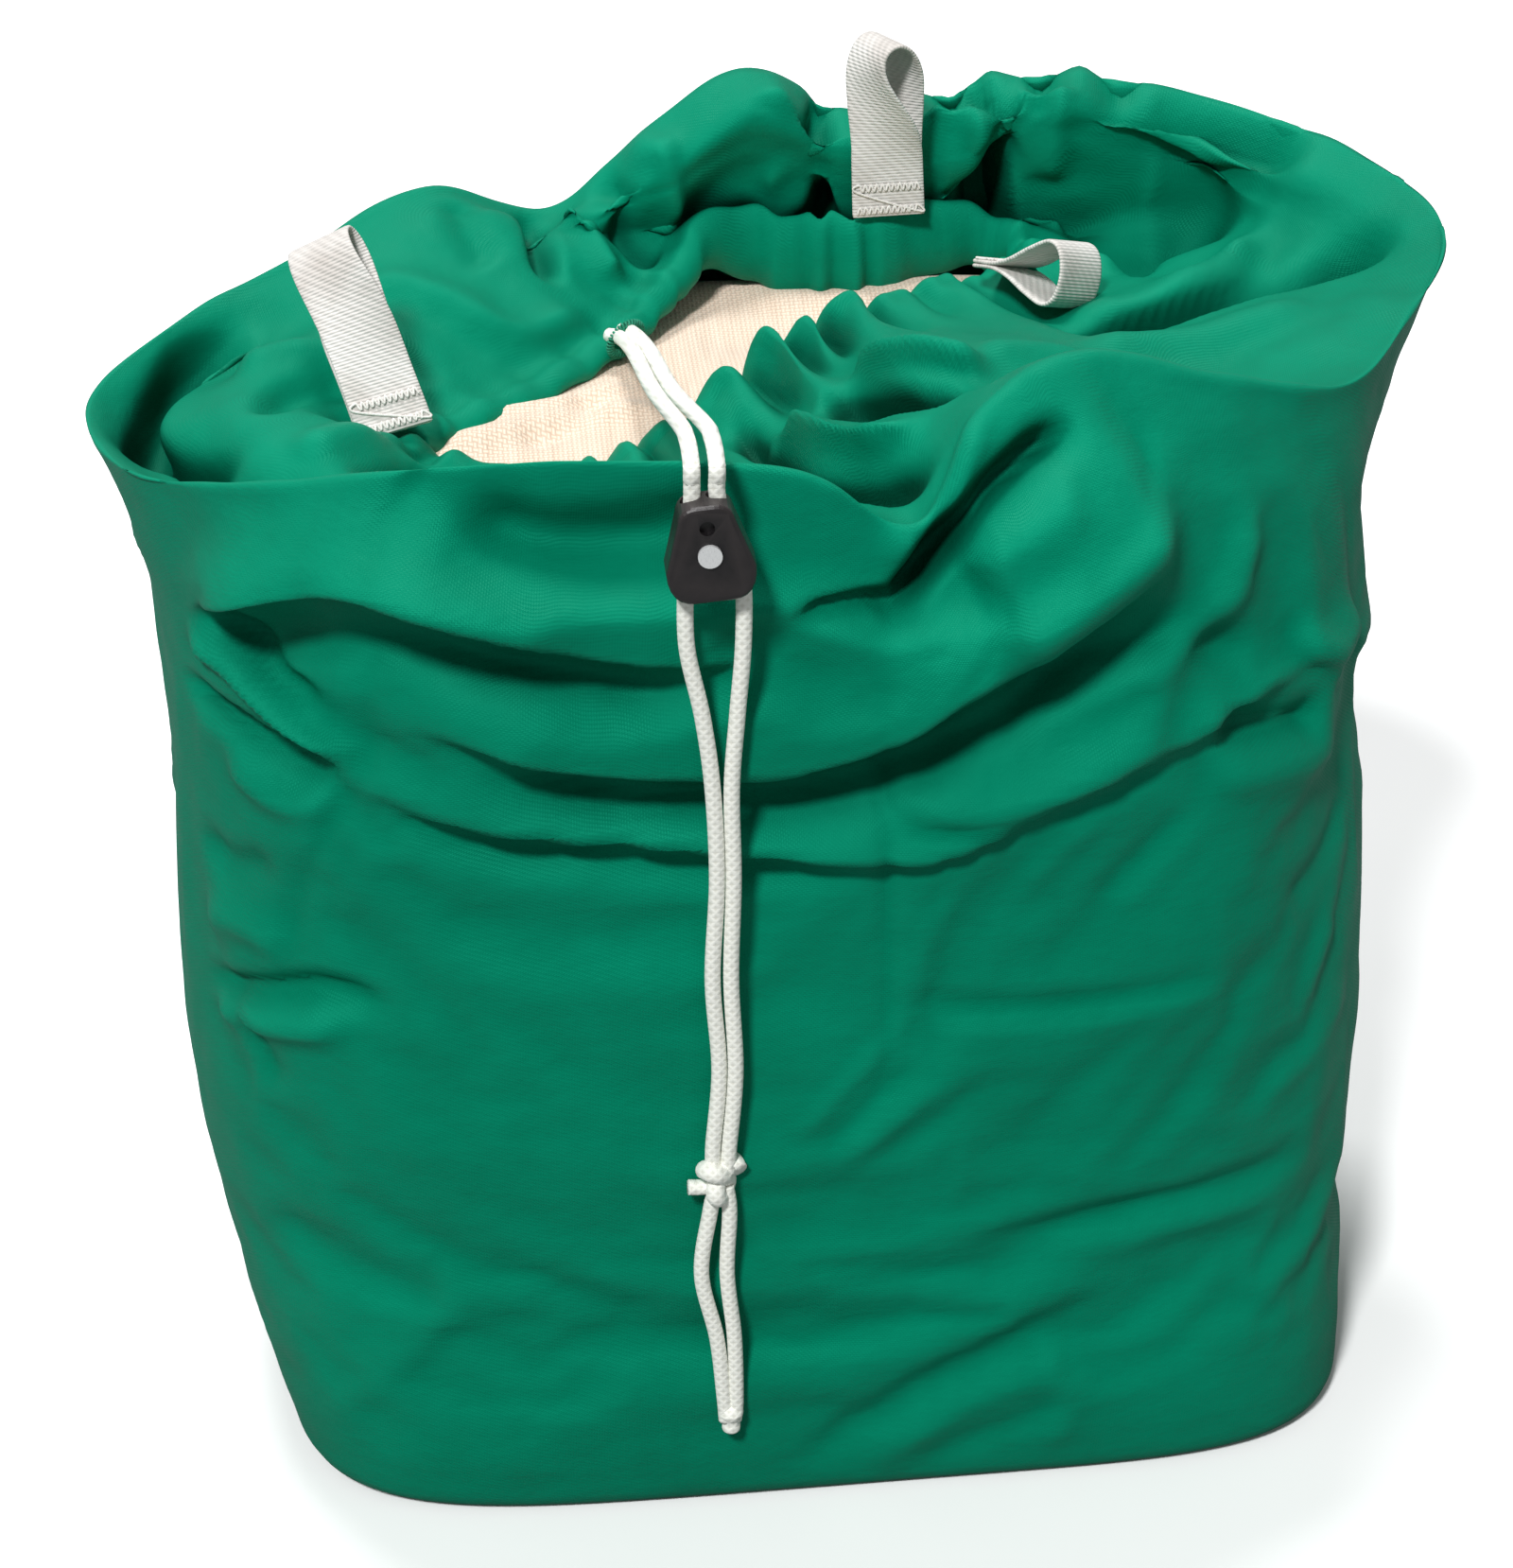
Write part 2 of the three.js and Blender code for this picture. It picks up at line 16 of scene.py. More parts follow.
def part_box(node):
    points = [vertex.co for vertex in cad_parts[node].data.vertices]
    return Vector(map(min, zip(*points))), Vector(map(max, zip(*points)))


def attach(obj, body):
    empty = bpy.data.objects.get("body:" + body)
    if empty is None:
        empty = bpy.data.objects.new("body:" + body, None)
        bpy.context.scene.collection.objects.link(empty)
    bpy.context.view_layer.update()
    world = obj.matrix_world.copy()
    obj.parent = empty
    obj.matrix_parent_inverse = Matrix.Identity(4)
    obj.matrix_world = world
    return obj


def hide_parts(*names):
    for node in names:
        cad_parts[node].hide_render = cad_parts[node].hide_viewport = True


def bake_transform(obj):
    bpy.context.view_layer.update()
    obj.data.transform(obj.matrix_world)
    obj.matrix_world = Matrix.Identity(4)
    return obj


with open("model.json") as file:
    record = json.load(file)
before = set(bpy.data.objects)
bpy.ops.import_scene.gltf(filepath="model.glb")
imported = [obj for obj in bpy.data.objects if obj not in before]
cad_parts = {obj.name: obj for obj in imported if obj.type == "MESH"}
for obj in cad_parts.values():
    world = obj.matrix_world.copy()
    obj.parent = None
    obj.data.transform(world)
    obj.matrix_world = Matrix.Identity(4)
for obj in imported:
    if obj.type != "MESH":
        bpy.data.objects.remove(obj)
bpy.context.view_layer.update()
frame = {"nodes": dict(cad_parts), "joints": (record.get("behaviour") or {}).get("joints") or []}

MM = 0.001
random = np.random.default_rng(11)


# ---------------------------------------------------------------- curves and meshes

def smoothstep(x):
    x = np.clip(x, 0, 1)
    return x * x * (3 - 2 * x)


def spline(points, count, closed=False):
    """count points, evenly spaced in share, along the Catmull-Rom spline through points."""
    p = np.asarray(points, float)
    k = len(p)
    if closed:
        t = np.arange(count) * k / count
        i = np.floor(t).astype(int)
        a, b, c, d = (p[(i + o) % k] for o in (-1, 0, 1, 2))
    else:
        t = np.linspace(0, k - 1, count)
        i = np.minimum(np.floor(t).astype(int), k - 2)
        ends = np.concatenate([[2 * p[0] - p[1]], p, [2 * p[-1] - p[-2]]])
        a, b, c, d = (ends[i + 1 + o] for o in (-1, 0, 1, 2))
    f = (t - i).reshape(-1, *([1] * (p.ndim - 1)))
    return 0.5 * (2 * b + (c - a) * f + (2 * a - 5 * b + 4 * c - d) * f**2 + (3 * b - a - 3 * c + d) * f**3)


def even_spline(points, step, closed=False):
    """Points about step apart along the spline through points."""
    fine = spline(points, 60 * len(points), closed)
    if closed:
        fine = np.vstack([fine, fine[:1]])
    run = np.concatenate([[0], np.cumsum(np.linalg.norm(np.diff(fine, axis=0), axis=1))])
    count = max(4, int(run[-1] / step))
    at = np.linspace(0, run[-1], count + 1)
    if closed:
        at = at[:-1]
    return np.stack([np.interp(at, run, fine[:, i]) for i in range(3)], axis=1)


def loft(rows, steps):
    """A smooth grid through control rows (K, N, 3). steps[k] is the row spacing between rows k and k + 1.
    Returns the grid and, for each control row, its index in the grid."""
    rows = np.asarray(rows, float)
    gaps = np.linalg.norm(np.diff(rows, axis=0), axis=2).mean(axis=1)
    slopes = np.diff(rows, axis=0) / gaps[:, None, None]
    tangents = np.empty_like(rows)
    tangents[0], tangents[-1] = slopes[0], slopes[-1]
    for k in range(1, len(rows) - 1):
        tangents[k] = (slopes[k] * gaps[k - 1] + slopes[k - 1] * gaps[k]) / (gaps[k] + gaps[k - 1])
    grid, index = [], []
    for k, gap in enumerate(gaps):
        index.append(len(grid))
        count = max(1, int(round(gap / steps[k])))
        for f in np.arange(count) / count:
            grid.append(
                (2 * f**3 - 3 * f**2 + 1) * rows[k]
                + (f**3 - 2 * f**2 + f) * gap * tangents[k]
                + (3 * f**2 - 2 * f**3) * rows[k + 1]
                + (f**3 - f**2) * gap * tangents[k + 1]
            )
    index.append(len(grid))
    grid.append(rows[-1])
    return np.array(grid), index


def make_mesh(name, vertices, faces, uv=None, material=None, smooth=True):
    """A mesh object from points in millimetres. uv holds one pair for each vertex of each face, in order."""
    mesh = bpy.data.meshes.new(name)
    mesh.from_pydata((np.asarray(vertices, float) * MM).tolist(), [], [list(map(int, f)) for f in faces])
    mesh.update()
    if uv is not None:
        layer = mesh.uv_layers.new(name="cloth")
        layer.data.foreach_set("uv", np.asarray(uv, np.float32).ravel())
    mesh.polygons.foreach_set("use_smooth", [smooth] * len(mesh.polygons))
    piece = bpy.data.objects.new(name, mesh)
    bpy.context.scene.collection.objects.link(piece)
    if material:
        mesh.materials.append(material)
    return piece


def grid_faces(rows, columns, closed):
    """Quads of a grid whose vertex (r, c) has index r * columns + c; closed joins the last column to the first."""
    r, c = np.meshgrid(np.arange(rows - 1), np.arange(columns if closed else columns - 1), indexing="ij")
    r, c = r.ravel(), c.ravel()
    after = (c + 1) % columns
    return np.stack([r * columns + c, r * columns + after, (r + 1) * columns + after, (r + 1) * columns + c], axis=1)


def grid_uv(u, v, rows, columns, closed):
    """Face-corner uv for grid_faces, from u (columns + 1 values) and v (rows, columns + 1)."""
    r, c = np.meshgrid(np.arange(rows - 1), np.arange(columns if closed else columns - 1), indexing="ij")
    r, c = r.ravel(), c.ravel()
    corners = [(r, c), (r, c + 1), (r + 1, c + 1), (r + 1, c)]
    return np.stack([np.stack([u[cc], v[rr, cc]], axis=1) for rr, cc in corners], axis=1).reshape(-1, 2)


def frames_along(path, closed=False):
    """Two unit vectors across the path at each point, carried along it without twisting."""
    tangent = np.gradient(path, axis=0)
    if closed:
        tangent = np.roll(path, -1, axis=0) - np.roll(path, 1, axis=0)
    tangent /= np.linalg.norm(tangent, axis=1)[:, None]
    side = np.cross(tangent[0], [0.31, 0.87, 0.38])
    sides = []
    for t in tangent:
        side = side - t * (side @ t)
        side = side / np.linalg.norm(side)
        sides.append(side)
    sides = np.array(sides)
    return sides, np.cross(tangent, sides)


def tube(name, path, radius, material, around=20, relief=None, closed=False):
    """A round tube along a path of points. relief(run, angle) scales the radius."""
    path = np.asarray(path, float)
    side, other = frames_along(path, closed)
    angle = np.arange(around) * 2 * math.pi / around
    run = np.concatenate([[0], np.cumsum(np.linalg.norm(np.diff(path, axis=0), axis=1))])
    scale = np.ones((len(path), around)) if relief is None else relief(run[:, None], angle[None, :])
    radii = (radius if np.ndim(radius) else np.full(len(path), radius))[:, None] * scale
    ring = side[:, None] * np.cos(angle)[None, :, None] + other[:, None] * np.sin(angle)[None, :, None]
    points = path[:, None] + radii[:, :, None] * ring
    vertices = points.reshape(-1, 3)
    n = len(path)
    faces = grid_faces(n, around, True).tolist()
    if closed:
        last = (n - 1) * around
        faces += [[last + i, last + (i + 1) % around, (i + 1) % around, i] for i in range(around)]
    else:
        first, end = len(vertices), len(vertices) + 1
        vertices = np.vstack([vertices, path[:1], path[-1:]])
        faces += [[first, (i + 1) % around, i] for i in range(around)]
        faces += [[end, (n - 1) * around + i, (n - 1) * around + (i + 1) % around] for i in range(around)]
    return make_mesh(name, vertices, faces, material=material)


# ---------------------------------------------------------------- node materials

class Nodes:
    """A short way to write a material's node tree."""

    def __init__(self, name):
        self.material = bpy.data.materials.new(name)
        self.material.use_nodes = True
        self.tree = self.material.node_tree
        self.shader = self.tree.nodes["Principled BSDF"]

    def add(self, kind, settings=None, **inputs):
        node = self.tree.nodes.new(kind)
        for key, value in (settings or {}).items():
            setattr(node, key, value)
        for key, value in inputs.items():
            self.join(value, node, key.replace("_", " "))
        return node

    def join(self, value, node, socket):
        target = node.inputs[int(socket)] if socket.isdigit() else node.inputs[socket]
        if isinstance(value, bpy.types.NodeSocket):
            self.tree.links.new(value, target)
        else:
            target.default_value = value

    def math(self, operation, a, b=0.0):
        node = self.tree.nodes.new("ShaderNodeMath")
        node.operation = operation
        self.join(a, node, "0")
        self.join(b, node, "1")
        return node.outputs[0]

    def ramp(self, factor, *stops):
        node = self.add("ShaderNodeValToRGB", Fac=factor)
        while len(node.color_ramp.elements) < len(stops):
            node.color_ramp.elements.new(0.5)
        for element, (position, colour) in zip(node.color_ramp.elements, stops):
            element.position = position
            element.color = colour if np.ndim(colour) else (colour, colour, colour, 1)
        return node.outputs[0]

    def scaled(self, source, x, y, z=1.0):
        mapping = self.add("ShaderNodeMapping", Vector=source)
        mapping.inputs["Scale"].default_value = (x, y, z)
        return mapping.outputs[0]

    def noise(self, vector, scale, detail=3.0, roughness=0.55):
        node = self.add("ShaderNodeTexNoise", Vector=vector, Scale=scale, Detail=detail, Roughness=roughness)
        return node.outputs["Fac"]

    def wave(self, vector, scale, direction="X", distortion=0.0):
        node = self.add(
            "ShaderNodeTexWave", {"bands_direction": direction}, Vector=vector, Scale=scale, Distortion=distortion
        )
        return node.outputs["Fac"]

    def bump(self, height, distance, strength=1.0, normal=None):
        node = self.add("ShaderNodeBump", Height=height, Distance=distance, Strength=strength)
        if normal is not None:
            self.join(normal, node, "Normal")
        return node.outputs[0]

    def set(self, **inputs):
        for key, value in inputs.items():
            self.join(value, self.shader, key.replace("_", " "))


def colour(r, g, b):
    """sRGB in 0-255 to a linear colour."""
    return (*(((c / 255 + 0.055) / 1.055) ** 2.4 if c > 10 else c / 255 / 12.92 for c in (r, g, b)), 1)


WAVE_PER_M = math.pi / 10   # the wave texture's scale for one wave per metre


def weave_height(n, uv, threads_per_m):
    """A plain weave: warp and weft bumps that pass over and under each other."""
    warp = n.wave(uv, threads_per_m * WAVE_PER_M, "X")
    weft = n.wave(uv, threads_per_m * WAVE_PER_M, "Y")
    check = n.add("ShaderNodeTexChecker", Vector=uv, Scale=threads_per_m).outputs["Fac"]
    over = n.math("MULTIPLY", warp, check)
    under = n.math("MULTIPLY", weft, n.math("SUBTRACT", 1.0, check))
    return n.math("ADD", over, under)


def bag_cloth_material():
    """Thin satin nylon: fine plain weave, small pressed wrinkles, painted highlight on fold crests, painted shade in
    hollows.
    """
    n = Nodes("bag_cloth")
    uv = n.add("ShaderNodeTexCoord").outputs["UV"]
    place = n.add("ShaderNodeTexCoord").outputs["Object"]
    broad = n.noise(place, 9.0, 4.0)
    fine = n.noise(place, 60.0, 5.0)
    tone = n.math("ADD", n.math("MULTIPLY", broad, 0.7), n.math("MULTIPLY", fine, 0.3))
    base = n.ramp(tone, (0.25, colour(0, 106, 79)), (0.5, colour(0, 118, 89)), (0.75, colour(0, 127, 97)))
    # Painted highlight: the fold crests, found by pointiness, are mixed towards a lighter, lit green.
    edge = n.add("ShaderNodeNewGeometry").outputs["Pointiness"]
    edge_wear_and_painted_highlight = n.ramp(edge, (0.47, 0.0), (0.56, 1.0))
    mix = n.add("ShaderNodeMix", {"data_type": "RGBA"})
    n.join(n.math("MULTIPLY", edge_wear_and_painted_highlight, 0.28), mix, "0")
    n.join(base, mix, "6")
    n.join(colour(20, 150, 118), mix, "7")
    # Painted shade: the hollows, found by ambient occlusion, and the painted slit mask are mixed towards a dark green.
    deep = n.add("ShaderNodeMix", {"data_type": "RGBA"})
    occlusion_for_painted_shade = n.add("ShaderNodeAmbientOcclusion", {"samples": 6, "only_local": True}, Distance=0.03).outputs["AO"]
    painted_slit_shade_factor = n.add("ShaderNodeAttribute", {"attribute_name": "slit_painted_shade"}).outputs["Fac"]
    painted_shade_amount = n.math("ADD", n.ramp(occlusion_for_painted_shade, (0.25, 1.0), (0.78, 0.0)), n.ramp(painted_slit_shade_factor, (0.15, 0.0), (0.8, 1.5)))
    n.join(n.math("MINIMUM", painted_shade_amount, 1.4), deep, "0")
    n.join(mix.outputs[2], deep, "6")
    n.join(colour(0, 52, 36), deep, "7")
    weave = weave_height(n, uv, 1500)
    crush = n.noise(n.scaled(place, 1.0, 1.0, 1.7), 42.0, 6.0, 0.6)
    bumped = n.bump(crush, 0.0016, 0.55)
    bumped = n.bump(weave, 0.00012, 0.5, bumped)
    n.set(
        Base_Color=deep.outputs[2],
        Roughness=n.ramp(fine, (0.3, 0.46), (0.7, 0.6)),
        Sheen_Weight=0.02,
        Sheen_Roughness=0.4,
        Sheen_Tint=colour(40, 200, 160),
        Specular_Tint=colour(60, 235, 190),
        Normal=bumped,
    )
    n.shader.inputs["Specular IOR Level"].default_value = 0.34
    return n.material


def cord_material():
    """White braided cord, in the frame's own coordinates so that a stretched cord keeps its braid."""
    n = Nodes("cord")
    place = n.add("ShaderNodeTexCoord").outputs["Object"]
    one = n.wave(n.scaled(place, 1.0, 0.4, 1.0), 190.0, "DIAGONAL")
    two = n.wave(n.scaled(place, -1.0, 0.4, 1.0), 190.0, "DIAGONAL")
    braid = n.math("MAXIMUM", one, two)
    fuzz = n.noise(place, 900.0, 3.0)
    shade = n.math("ADD", n.math("MULTIPLY", braid, 0.6), n.math("MULTIPLY", fuzz, 0.4))
    n.set(
        Base_Color=n.ramp(shade, (0.2, colour(222, 222, 211)), (0.6, colour(241, 242, 234))),
        Roughness=0.78,
        Sheen_Weight=0.25,
        Normal=n.bump(shade, 0.0004, 0.7),
    )
    return n.material


def webbing_material():
    """White woven webbing: ribs across the width and a herringbone along it."""
    n = Nodes("webbing")
    uv = n.add("ShaderNodeTexCoord").outputs["UV"]
    place = n.add("ShaderNodeTexCoord").outputs["Object"]
    ribs = n.wave(uv, 900 * WAVE_PER_M, "Y", 0.3)
    twill = n.wave(uv, 500 * WAVE_PER_M, "DIAGONAL", 0.2)
    height = n.math("ADD", n.math("MULTIPLY", ribs, 0.5), n.math("MULTIPLY", twill, 0.5))
    soil = n.noise(place, 45.0, 5.0)
    base = n.ramp(soil, (0.3, colour(196, 190, 184)), (0.6, colour(222, 219, 215)))
    mix = n.add("ShaderNodeMix", {"data_type": "RGBA", "blend_type": "MULTIPLY"})
    n.join(0.35, mix, "0")
    n.join(base, mix, "6")
    n.join(n.ramp(height, (0.1, 0.55), (0.7, 1.0)), mix, "7")
    n.set(
        Base_Color=mix.outputs[2],
        Roughness=0.82,
        Sheen_Weight=0.2,
        Normal=n.bump(height, 0.0004, 0.8),
    )
    return n.material


def linen_material():
    """Beige linen with a visible plain weave and uneven threads."""
    n = Nodes("linen")
    uv = n.add("ShaderNodeTexCoord").outputs["UV"]
    place = n.add("ShaderNodeTexCoord").outputs["Object"]
    slub = n.noise(n.scaled(uv, 1.0, 0.08), 320.0, 3.0)
    weave = weave_height(n, uv, 620)
    tone = n.math("ADD", n.math("MULTIPLY", weave, 0.5), n.math("MULTIPLY", slub, 0.5))
    base = n.ramp(tone, (0.1, colour(196, 168, 146)), (0.5, colour(226, 203, 182)), (0.9, colour(241, 226, 209)))
    n.set(
        Base_Color=base,
        Roughness=0.9,
        Sheen_Weight=0.3,
        Normal=n.bump(n.noise(place, 55.0, 4.0), 0.0015, 0.4, n.bump(tone, 0.0005, 0.9)),
    )
    return n.material


def lock_plastic_material():
    """Black moulded plastic with a fine spark-eroded grain and rubbed edges."""
    n = Nodes("lock_plastic")
    place = n.add("ShaderNodeTexCoord").outputs["Object"]
    grain = n.noise(place, 2600.0, 2.0)
    smudge = n.noise(place, 160.0, 4.0)
    edge = n.add("ShaderNodeNewGeometry").outputs["Pointiness"]
    edge_wear_and_painted_highlight = n.math("MULTIPLY", n.ramp(edge, (0.5, 0.0), (0.6, 1.0)), 0.5)
    mix = n.add("ShaderNodeMix", {"data_type": "RGBA"})
    n.join(edge_wear_and_painted_highlight, mix, "0")
    n.join(n.ramp(smudge, (0.3, colour(17, 15, 17)), (0.7, colour(30, 27, 29))), mix, "6")
    n.join(colour(70, 62, 62), mix, "7")
    n.set(
        Base_Color=mix.outputs[2],
        Roughness=n.ramp(smudge, (0.3, 0.26), (0.7, 0.42)),
        Normal=n.bump(grain, 0.00006, 0.6),
    )
    return n.material


def lock_metal_material():
    """Satin plated steel."""
    n = Nodes("lock_metal")
    place = n.add("ShaderNodeTexCoord").outputs["Object"]
    brushed = n.noise(n.scaled(place, 8.0, 1.0, 1.0), 700.0, 3.0)
    n.set(
        Base_Color=n.ramp(brushed, (0.3, colour(222, 223, 224)), (0.7, colour(242, 243, 243))),
        Metallic=0.35,
        Roughness=n.ramp(brushed, (0.3, 0.24), (0.7, 0.38)),
        Normal=n.bump(brushed, 0.00003, 0.5),
    )
    return n.material


def thread_material(name, light, dark):
    """Spun sewing thread."""
    n = Nodes(name)
    place = n.add("ShaderNodeTexCoord").outputs["Object"]
    ply = n.noise(place, 1800.0, 3.0)
    n.set(Base_Color=n.ramp(ply, (0.3, dark), (0.7, light)), Roughness=0.7, Normal=n.bump(ply, 0.0001, 0.6))
    return n.material


CLOTH = bag_cloth_material()
CORD = cord_material()
WEBBING = webbing_material()
LINEN = linen_material()
PLASTIC = lock_plastic_material()
METAL = lock_metal_material()
GREEN_THREAD = thread_material("green_thread", colour(20, 150, 116), colour(0, 92, 68))
WHITE_THREAD = thread_material("white_thread", colour(244, 242, 238), colour(205, 200, 194))


# ---------------------------------------------------------------- the bag's form

COLUMNS = 456
CORNER_POWER = 3.7
BASE_CORNER_POWER = 5.5
FRONT_TURN = -0.035     # the base's front edge runs back towards the right
SLACK_FROM_Z = 238.0
CORD_X = -27.0

# height, then the wall's reach to the left, right, front and back
WALL = [
    (0, -169, 199, -151, 132),
    (14, -173, 200, -152, 134),
    (40, -180, 200, -152.5, 138),
    (85, -191, 201, -152.5, 142),
    (135, -198, 203, -152, 144),
    (180, -198, 201, -151, 143),
    (SLACK_FROM_Z, -195, 196, -146.5, 139),
]

# One row for each spoke, going round from the left by the front: the rim's place, the hem's place, how far
# the collar dips just inside the rim, how far it puffs up halfway, the height of the hem's gathers, how far
# the rim rolls inwards, how tall the hem's band is against a plain one, and how deep a pocket the collar has
# under the rolled rim.
SPOKES = [
    ((-218, 4, 340), (-113, -20, 333), -20, 17, 1.5, 2.5, 0.8, 0),
    ((-201, -62, 348), (-107, -30, 331), -20, 13, 1.5, 2.5, 0.8, 0),
    ((-160, -105, 362), (-90, -37, 329), -22, 2, 2.5, 2.2, 0.65, 0),
    ((-108, -128, 376), (-68, -37, 328), -26, -8, 2.5, 2.2, 0.6, 0),
    ((-55, -134, 379), (-47, -33, 329), -26, -12, 2.5, 2.2, 0.6, 0),
    ((0, -134, 373), (-23, -18, 335), -16, -5, 3.0, 3, 0.8, 0),
    ((37, -130, 353), (0, 2, 342), 4, 5, 5.0, 3, 1.1, 0),
    ((60, -112, 382), (20, 20, 345), -3, 4, 5.5, 4, 1.2, 0),
    ((94, -95, 391), (40, 34, 346), -8, 2, 6.0, 6, 1.2, 0),
    ((137, -87, 378), (60, 47, 346), -8, 1, 5.5, 7, 1.1, 0),
    ((182, -64, 364), (79, 59, 345), -3, 3, 4.0, 6, 1.0, 0),
    ((213, -16, 366), (94, 71, 343), -1, 2, 2.5, 4, 1.0, 0),
    ((234, 28, 374), (103, 88, 341), 0, -8, 1.5, 4, 1.0, 0),
    ((224, 72, 381), (102, 104, 341), 2, -8, 1.5, 8, 1.2, 6),
    ((182, 112, 390), (91, 113, 344), 4, -14, 1.5, 12, 1.5, 14),
    ((122, 131, 398), (74, 112, 345), 5, -4, 1.7, 11, 1.9, 12),
    ((78, 131, 393), (55, 106, 343), 3, -14, 1.4, 9, 2.2, 13),
    ((45, 128, 388), (33, 103, 341), 2, -16, 1.3, 10, 2.3, 15),
    ((5, 129, 403), (8, 106, 345), 5, -16, 1.5, 12, 2.0, 16),
    ((-32, 119, 381), (-10, 98, 348), 5, -8, 1.6, 10, 1.4, 9),
    ((-64, 112, 361), (-24, 82, 341), 3, 5, 1.0, 6, 0.8, 3),
    ((-105, 101, 374), (-40, 59, 335), 3, 9, 0.8, 4, 0.6, 0),
    ((-153, 76, 358), (-62, 33, 332), 0, 9, 0.6, 3, 0.6, 0),
    ((-195, 42, 349), (-88, 7, 331), -16, 14, 0.7, 2.5, 0.6, 0),
]


def wall_reach(z):
    heights = [row[0] for row in WALL]
    return [np.interp(z, heights, [row[i] for row in WALL]) for i in (1, 2, 3, 4)]


def wall_ring(z, rim, inset=0.0):
    """The wall's outline at height z, one point in the direction of each of the rim's points."""
    left, right, front, back = wall_reach(z)
    centre = (left + right) / 2
    angle = np.arctan2(rim[:, 1], rim[:, 0] - centre)
    across = (right - left) / 2 - inset
    deep = np.where(rim[:, 1] < 0, -front, back) - inset
    cos, sin = np.cos(angle), np.sin(angle)
    deep = np.where(rim[:, 1] < 0, deep * (1 + FRONT_TURN * (1 - z / 300) * cos), deep)
    power = np.interp(z, [0, 90], [BASE_CORNER_POWER, CORNER_POWER])
    reach = (np.abs(cos / across) ** power + np.abs(sin / deep) ** power) ** (-1 / power)
    return np.stack([centre + reach * cos, reach * sin, np.full(len(rim), float(z))], axis=1)


def around(values, count=COLUMNS):
    """Smooth values round the bag from one value a spoke."""
    return spline(np.asarray(values, float).reshape(len(SPOKES), -1), count, closed=True)


def level_outward(ring):
    """Unit vectors pointing out of a ring that goes round from the left by the front, level."""
    along = np.roll(ring, -1, axis=0) - np.roll(ring, 1, axis=0)
    out = np.stack([along[:, 1], -along[:, 0], np.zeros(len(ring))], axis=1)
    return out / np.linalg.norm(out, axis=1)[:, None]


def bag_rows():
    """Control rows of the cloth from the middle of the base to the turned-in end of the hem."""
    rim = around([s[0] for s in SPOKES])
    hem = around([s[1] for s in SPOKES])
    dip = around([s[2] for s in SPOKES])
    puff = around([s[3] for s in SPOKES])
    roll = around([s[5] for s in SPOKES])
    band = around([s[6] for s in SPOKES])
    pocket = around([s[7] for s in SPOKES])
    up = np.array([0, 0, 1.0])
    base = wall_ring(0, rim)
    middle = np.array([15.5, -5.0, 0])
    rows = [(middle + (base - middle) * share) * [1, 1, 0] for share in (0.02, 0.5, 0.9, 0.975)]
    rows.append(wall_ring(3.5, rim, 0.8))
    rows += [wall_ring(z, rim) for z, *_ in WALL[1:]]
    foot = rows[-1]
    for rise in (0.35, 0.65, 0.88, 0.96):
        ring = foot + (rim - foot) * rise**2.4
        ring[:, 2] = SLACK_FROM_Z + (rim[:, 2] - SLACK_FROM_Z) * rise
        rows.append(ring)
    rows.append(rim)
    inward = -level_outward(rim)
    rows.append(rim + roll * inward - 0.3 * roll * up)
    hem_out = level_outward(hem)
    start = rim + 2.2 * roll * inward - roll * up
    stop = hem + 9 * hem_out + 3 * up
    for share in (0.2, 0.45, 0.7, 0.9):
        bulge = dip * math.exp(-((share - 0.2) / 0.18) ** 2) + puff * math.sin(math.pi * share**1.15)
        outward = pocket * math.sin(math.pi * share) ** 2 * hem_out
        rows.append(start + (stop - start) * share + bulge * up + outward)
    section = [(4.5, 6.0), (0.5, 7.2), (-3.6, 4.6), (-5.8, -2.4), (-2.0, -7.0), (3.5, -6.5)]
    rows += [hem + out * hem_out + rise * band * up for out, rise in section]
    return rows


BASE_ROWS = 5          # control rows before the wall starts
RIM_ROW = BASE_ROWS + len(WALL) - 1 + 4
HEM_ROW = RIM_ROW + 6  # the first control row of the hem


def grid_normals(grid):
    du = np.roll(grid, -1, axis=1) - np.roll(grid, 1, axis=1)
    dv = np.gradient(grid, axis=0)
    normal = np.cross(du, dv)
    return normal / np.maximum(np.linalg.norm(normal, axis=2), 1e-9)[:, :, None]


# ---------------------------------------------------------------- folds drawn on the cloth

def stroke(points, path, height, left, right, taper=0.2, sharp=False):
    """Height that one fold adds at each of points (n, 2). The fold runs along path, and fades over the distances
    left and right on either side of it, and over the share taper of its length at each end."""
    line = spline(path, 36)
    start, step = line[:-1], np.diff(line, axis=0)
    length = np.linalg.norm(step, axis=1)
    run = np.concatenate([[0], np.cumsum(length)])
    reach = 3.2 * max(left, right)
    near = np.all((points > line.min(0) - reach) & (points < line.max(0) + reach), axis=1)
    result = np.zeros(len(points))
    p = points[near]
    if not len(p):
        return result
    offset = p[:, None] - start[None]
    along = np.clip((offset * step).sum(2) / length**2, 0, 1)
    gap = offset - along[:, :, None] * step[None]
    distance = np.linalg.norm(gap, axis=2)
    best = distance.argmin(1)
    pick = np.arange(len(p))
    side = step[best, 0] * gap[pick, best, 1] - step[best, 1] * gap[pick, best, 0]
    share = (run[best] + along[pick, best] * length[best]) / run[-1]
    width = np.where(side > 0, left, right)
    ratio = distance[pick, best] / width
    shape = np.exp(-ratio) if sharp else np.exp(-(ratio**2))
    result[near] = height * shape * smoothstep(np.minimum(share, 1 - share) / taper)
    return result


